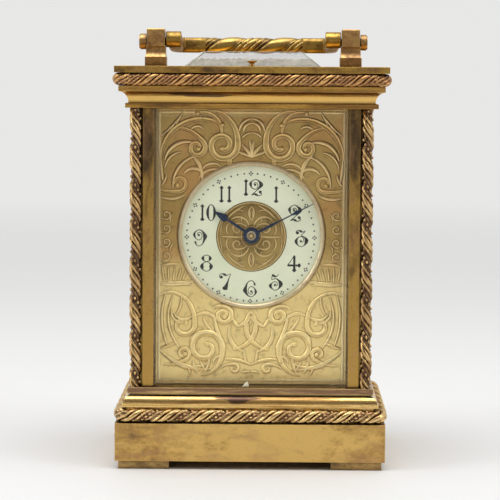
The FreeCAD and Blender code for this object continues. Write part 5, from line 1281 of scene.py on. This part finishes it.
def build_stage():
    """Pale floor that fades into the backdrop with distance."""
    recipe = Recipe("floor")
    spot = recipe.add("ShaderNodeVectorMath", Vector=recipe.where)
    spot.operation = "LENGTH"
    far = recipe.spread(spot.outputs["Value"], 0.45, 1.6)
    glow = recipe.add("ShaderNodeEmission")
    glow.inputs["Color"].default_value = (*BACKDROP, 1)
    blend = recipe.add("ShaderNodeMixShader", Fac=far)
    recipe.finish(Base_Color=FLOOR_GREY, Roughness=0.6)
    recipe.tree.links.new(recipe.shader.outputs[0], blend.inputs[1])
    recipe.tree.links.new(glow.outputs[0], blend.inputs[2])
    out = next(n for n in recipe.tree.nodes if n.type == "OUTPUT_MATERIAL")
    recipe.tree.links.new(blend.outputs[0], out.inputs["Surface"])
    mesh = bpy.data.meshes.new("floor")
    signs = ((-1, -1), (1, -1), (1, 1), (-1, 1))
    mesh.from_pydata([(x * FLOOR_HALF, y * FLOOR_HALF, 0) for x, y in signs], [], [(0, 1, 2, 3)])
    mesh.materials.append(recipe.material)
    floor = bpy.data.objects.new("floor", mesh)
    bpy.context.scene.collection.objects.link(floor)


def soft_light(name, place, target, size, power):
    """Rectangular lamp at a place, facing a target."""
    lamp = bpy.data.lights.new(name, "AREA")
    lamp.shape = "RECTANGLE"
    lamp.size, lamp.size_y = size
    lamp.energy = power
    obj = bpy.data.objects.new(name, lamp)
    obj.location = place
    obj.rotation_euler = (Vector(target) - Vector(place)).to_track_quat("-Z", "Y").to_euler()
    bpy.context.scene.collection.objects.link(obj)


def build_world():
    """Even pale light, dimmer low in front of the dial, where a photographer stands."""
    world = bpy.data.worlds.new("studio")
    world.use_nodes = True
    bpy.context.scene.world = world
    nodes, links = world.node_tree.nodes, world.node_tree.links
    background = nodes["Background"]
    way = nodes.new("ShaderNodeTexCoord")
    facing = nodes.new("ShaderNodeVectorMath")
    facing.operation = "DOT_PRODUCT"
    links.new(way.outputs["Generated"], facing.inputs[0])
    facing.inputs[1].default_value = (0.0, -0.995, 0.10)
    shade = nodes.new("ShaderNodeValToRGB")
    links.new(facing.outputs["Value"], shade.inputs["Fac"])
    points = shade.color_ramp.elements
    points[0].position, points[0].color = 0.35, (0.78, 0.78, 0.77, 1)
    points[1].position, points[1].color = 0.88, (0.16, 0.14, 0.12, 1)
    seen = nodes.new("ShaderNodeLightPath")
    choose = nodes.new("ShaderNodeMix")
    choose.data_type = "RGBA"
    links.new(seen.outputs["Is Camera Ray"], choose.inputs["Factor"])
    links.new(shade.outputs["Color"], choose.inputs[6])
    choose.inputs[7].default_value = (*BACKDROP, 1)
    links.new(choose.outputs[2], background.inputs["Color"])


CAMERA_PLACE = (0.008576, -0.88415, 0.14571)
CAMERA_LENS = 169.92
CAMERA_TURN = (4.506, 0.607, 0.35)


def build_camera():
    """Eye level just above the top plate, a little to the right, looking slightly down."""
    pitch, yaw, roll = (math.radians(turn) for turn in CAMERA_TURN)
    ahead = Vector((-math.sin(yaw) * math.cos(pitch), math.cos(yaw) * math.cos(pitch),
                    -math.sin(pitch)))
    right = Vector((math.cos(yaw), math.sin(yaw), 0))
    up = right.cross(ahead)
    turned_right = right * math.cos(roll) + up * math.sin(roll)
    turned_up = up * math.cos(roll) - right * math.sin(roll)
    data = bpy.data.cameras.new("camera")
    data.lens, data.sensor_width = CAMERA_LENS, 36.0
    camera = bpy.data.objects.new("camera", data)
    axes = Matrix((turned_right, turned_up, -ahead)).transposed().to_4x4()
    camera.matrix_world = Matrix.Translation(CAMERA_PLACE) @ axes
    bpy.context.scene.collection.objects.link(camera)
    bpy.context.scene.camera = camera


build_stage()
build_world()
build_camera()
soft_light("overhead", (0.0, -0.25, 1.15), (0, 0, 0.1), (0.9, 0.7), 7.0)
soft_light("left_side", (-1.1, -0.5, 0.65), (0, 0, 0.08), (0.5, 0.9), 4.5)
soft_light("right_side", (1.1, -0.6, 0.7), (0, 0, 0.08), (0.5, 0.9), 4.0)
bpy.context.scene.view_settings.view_transform = "Standard"
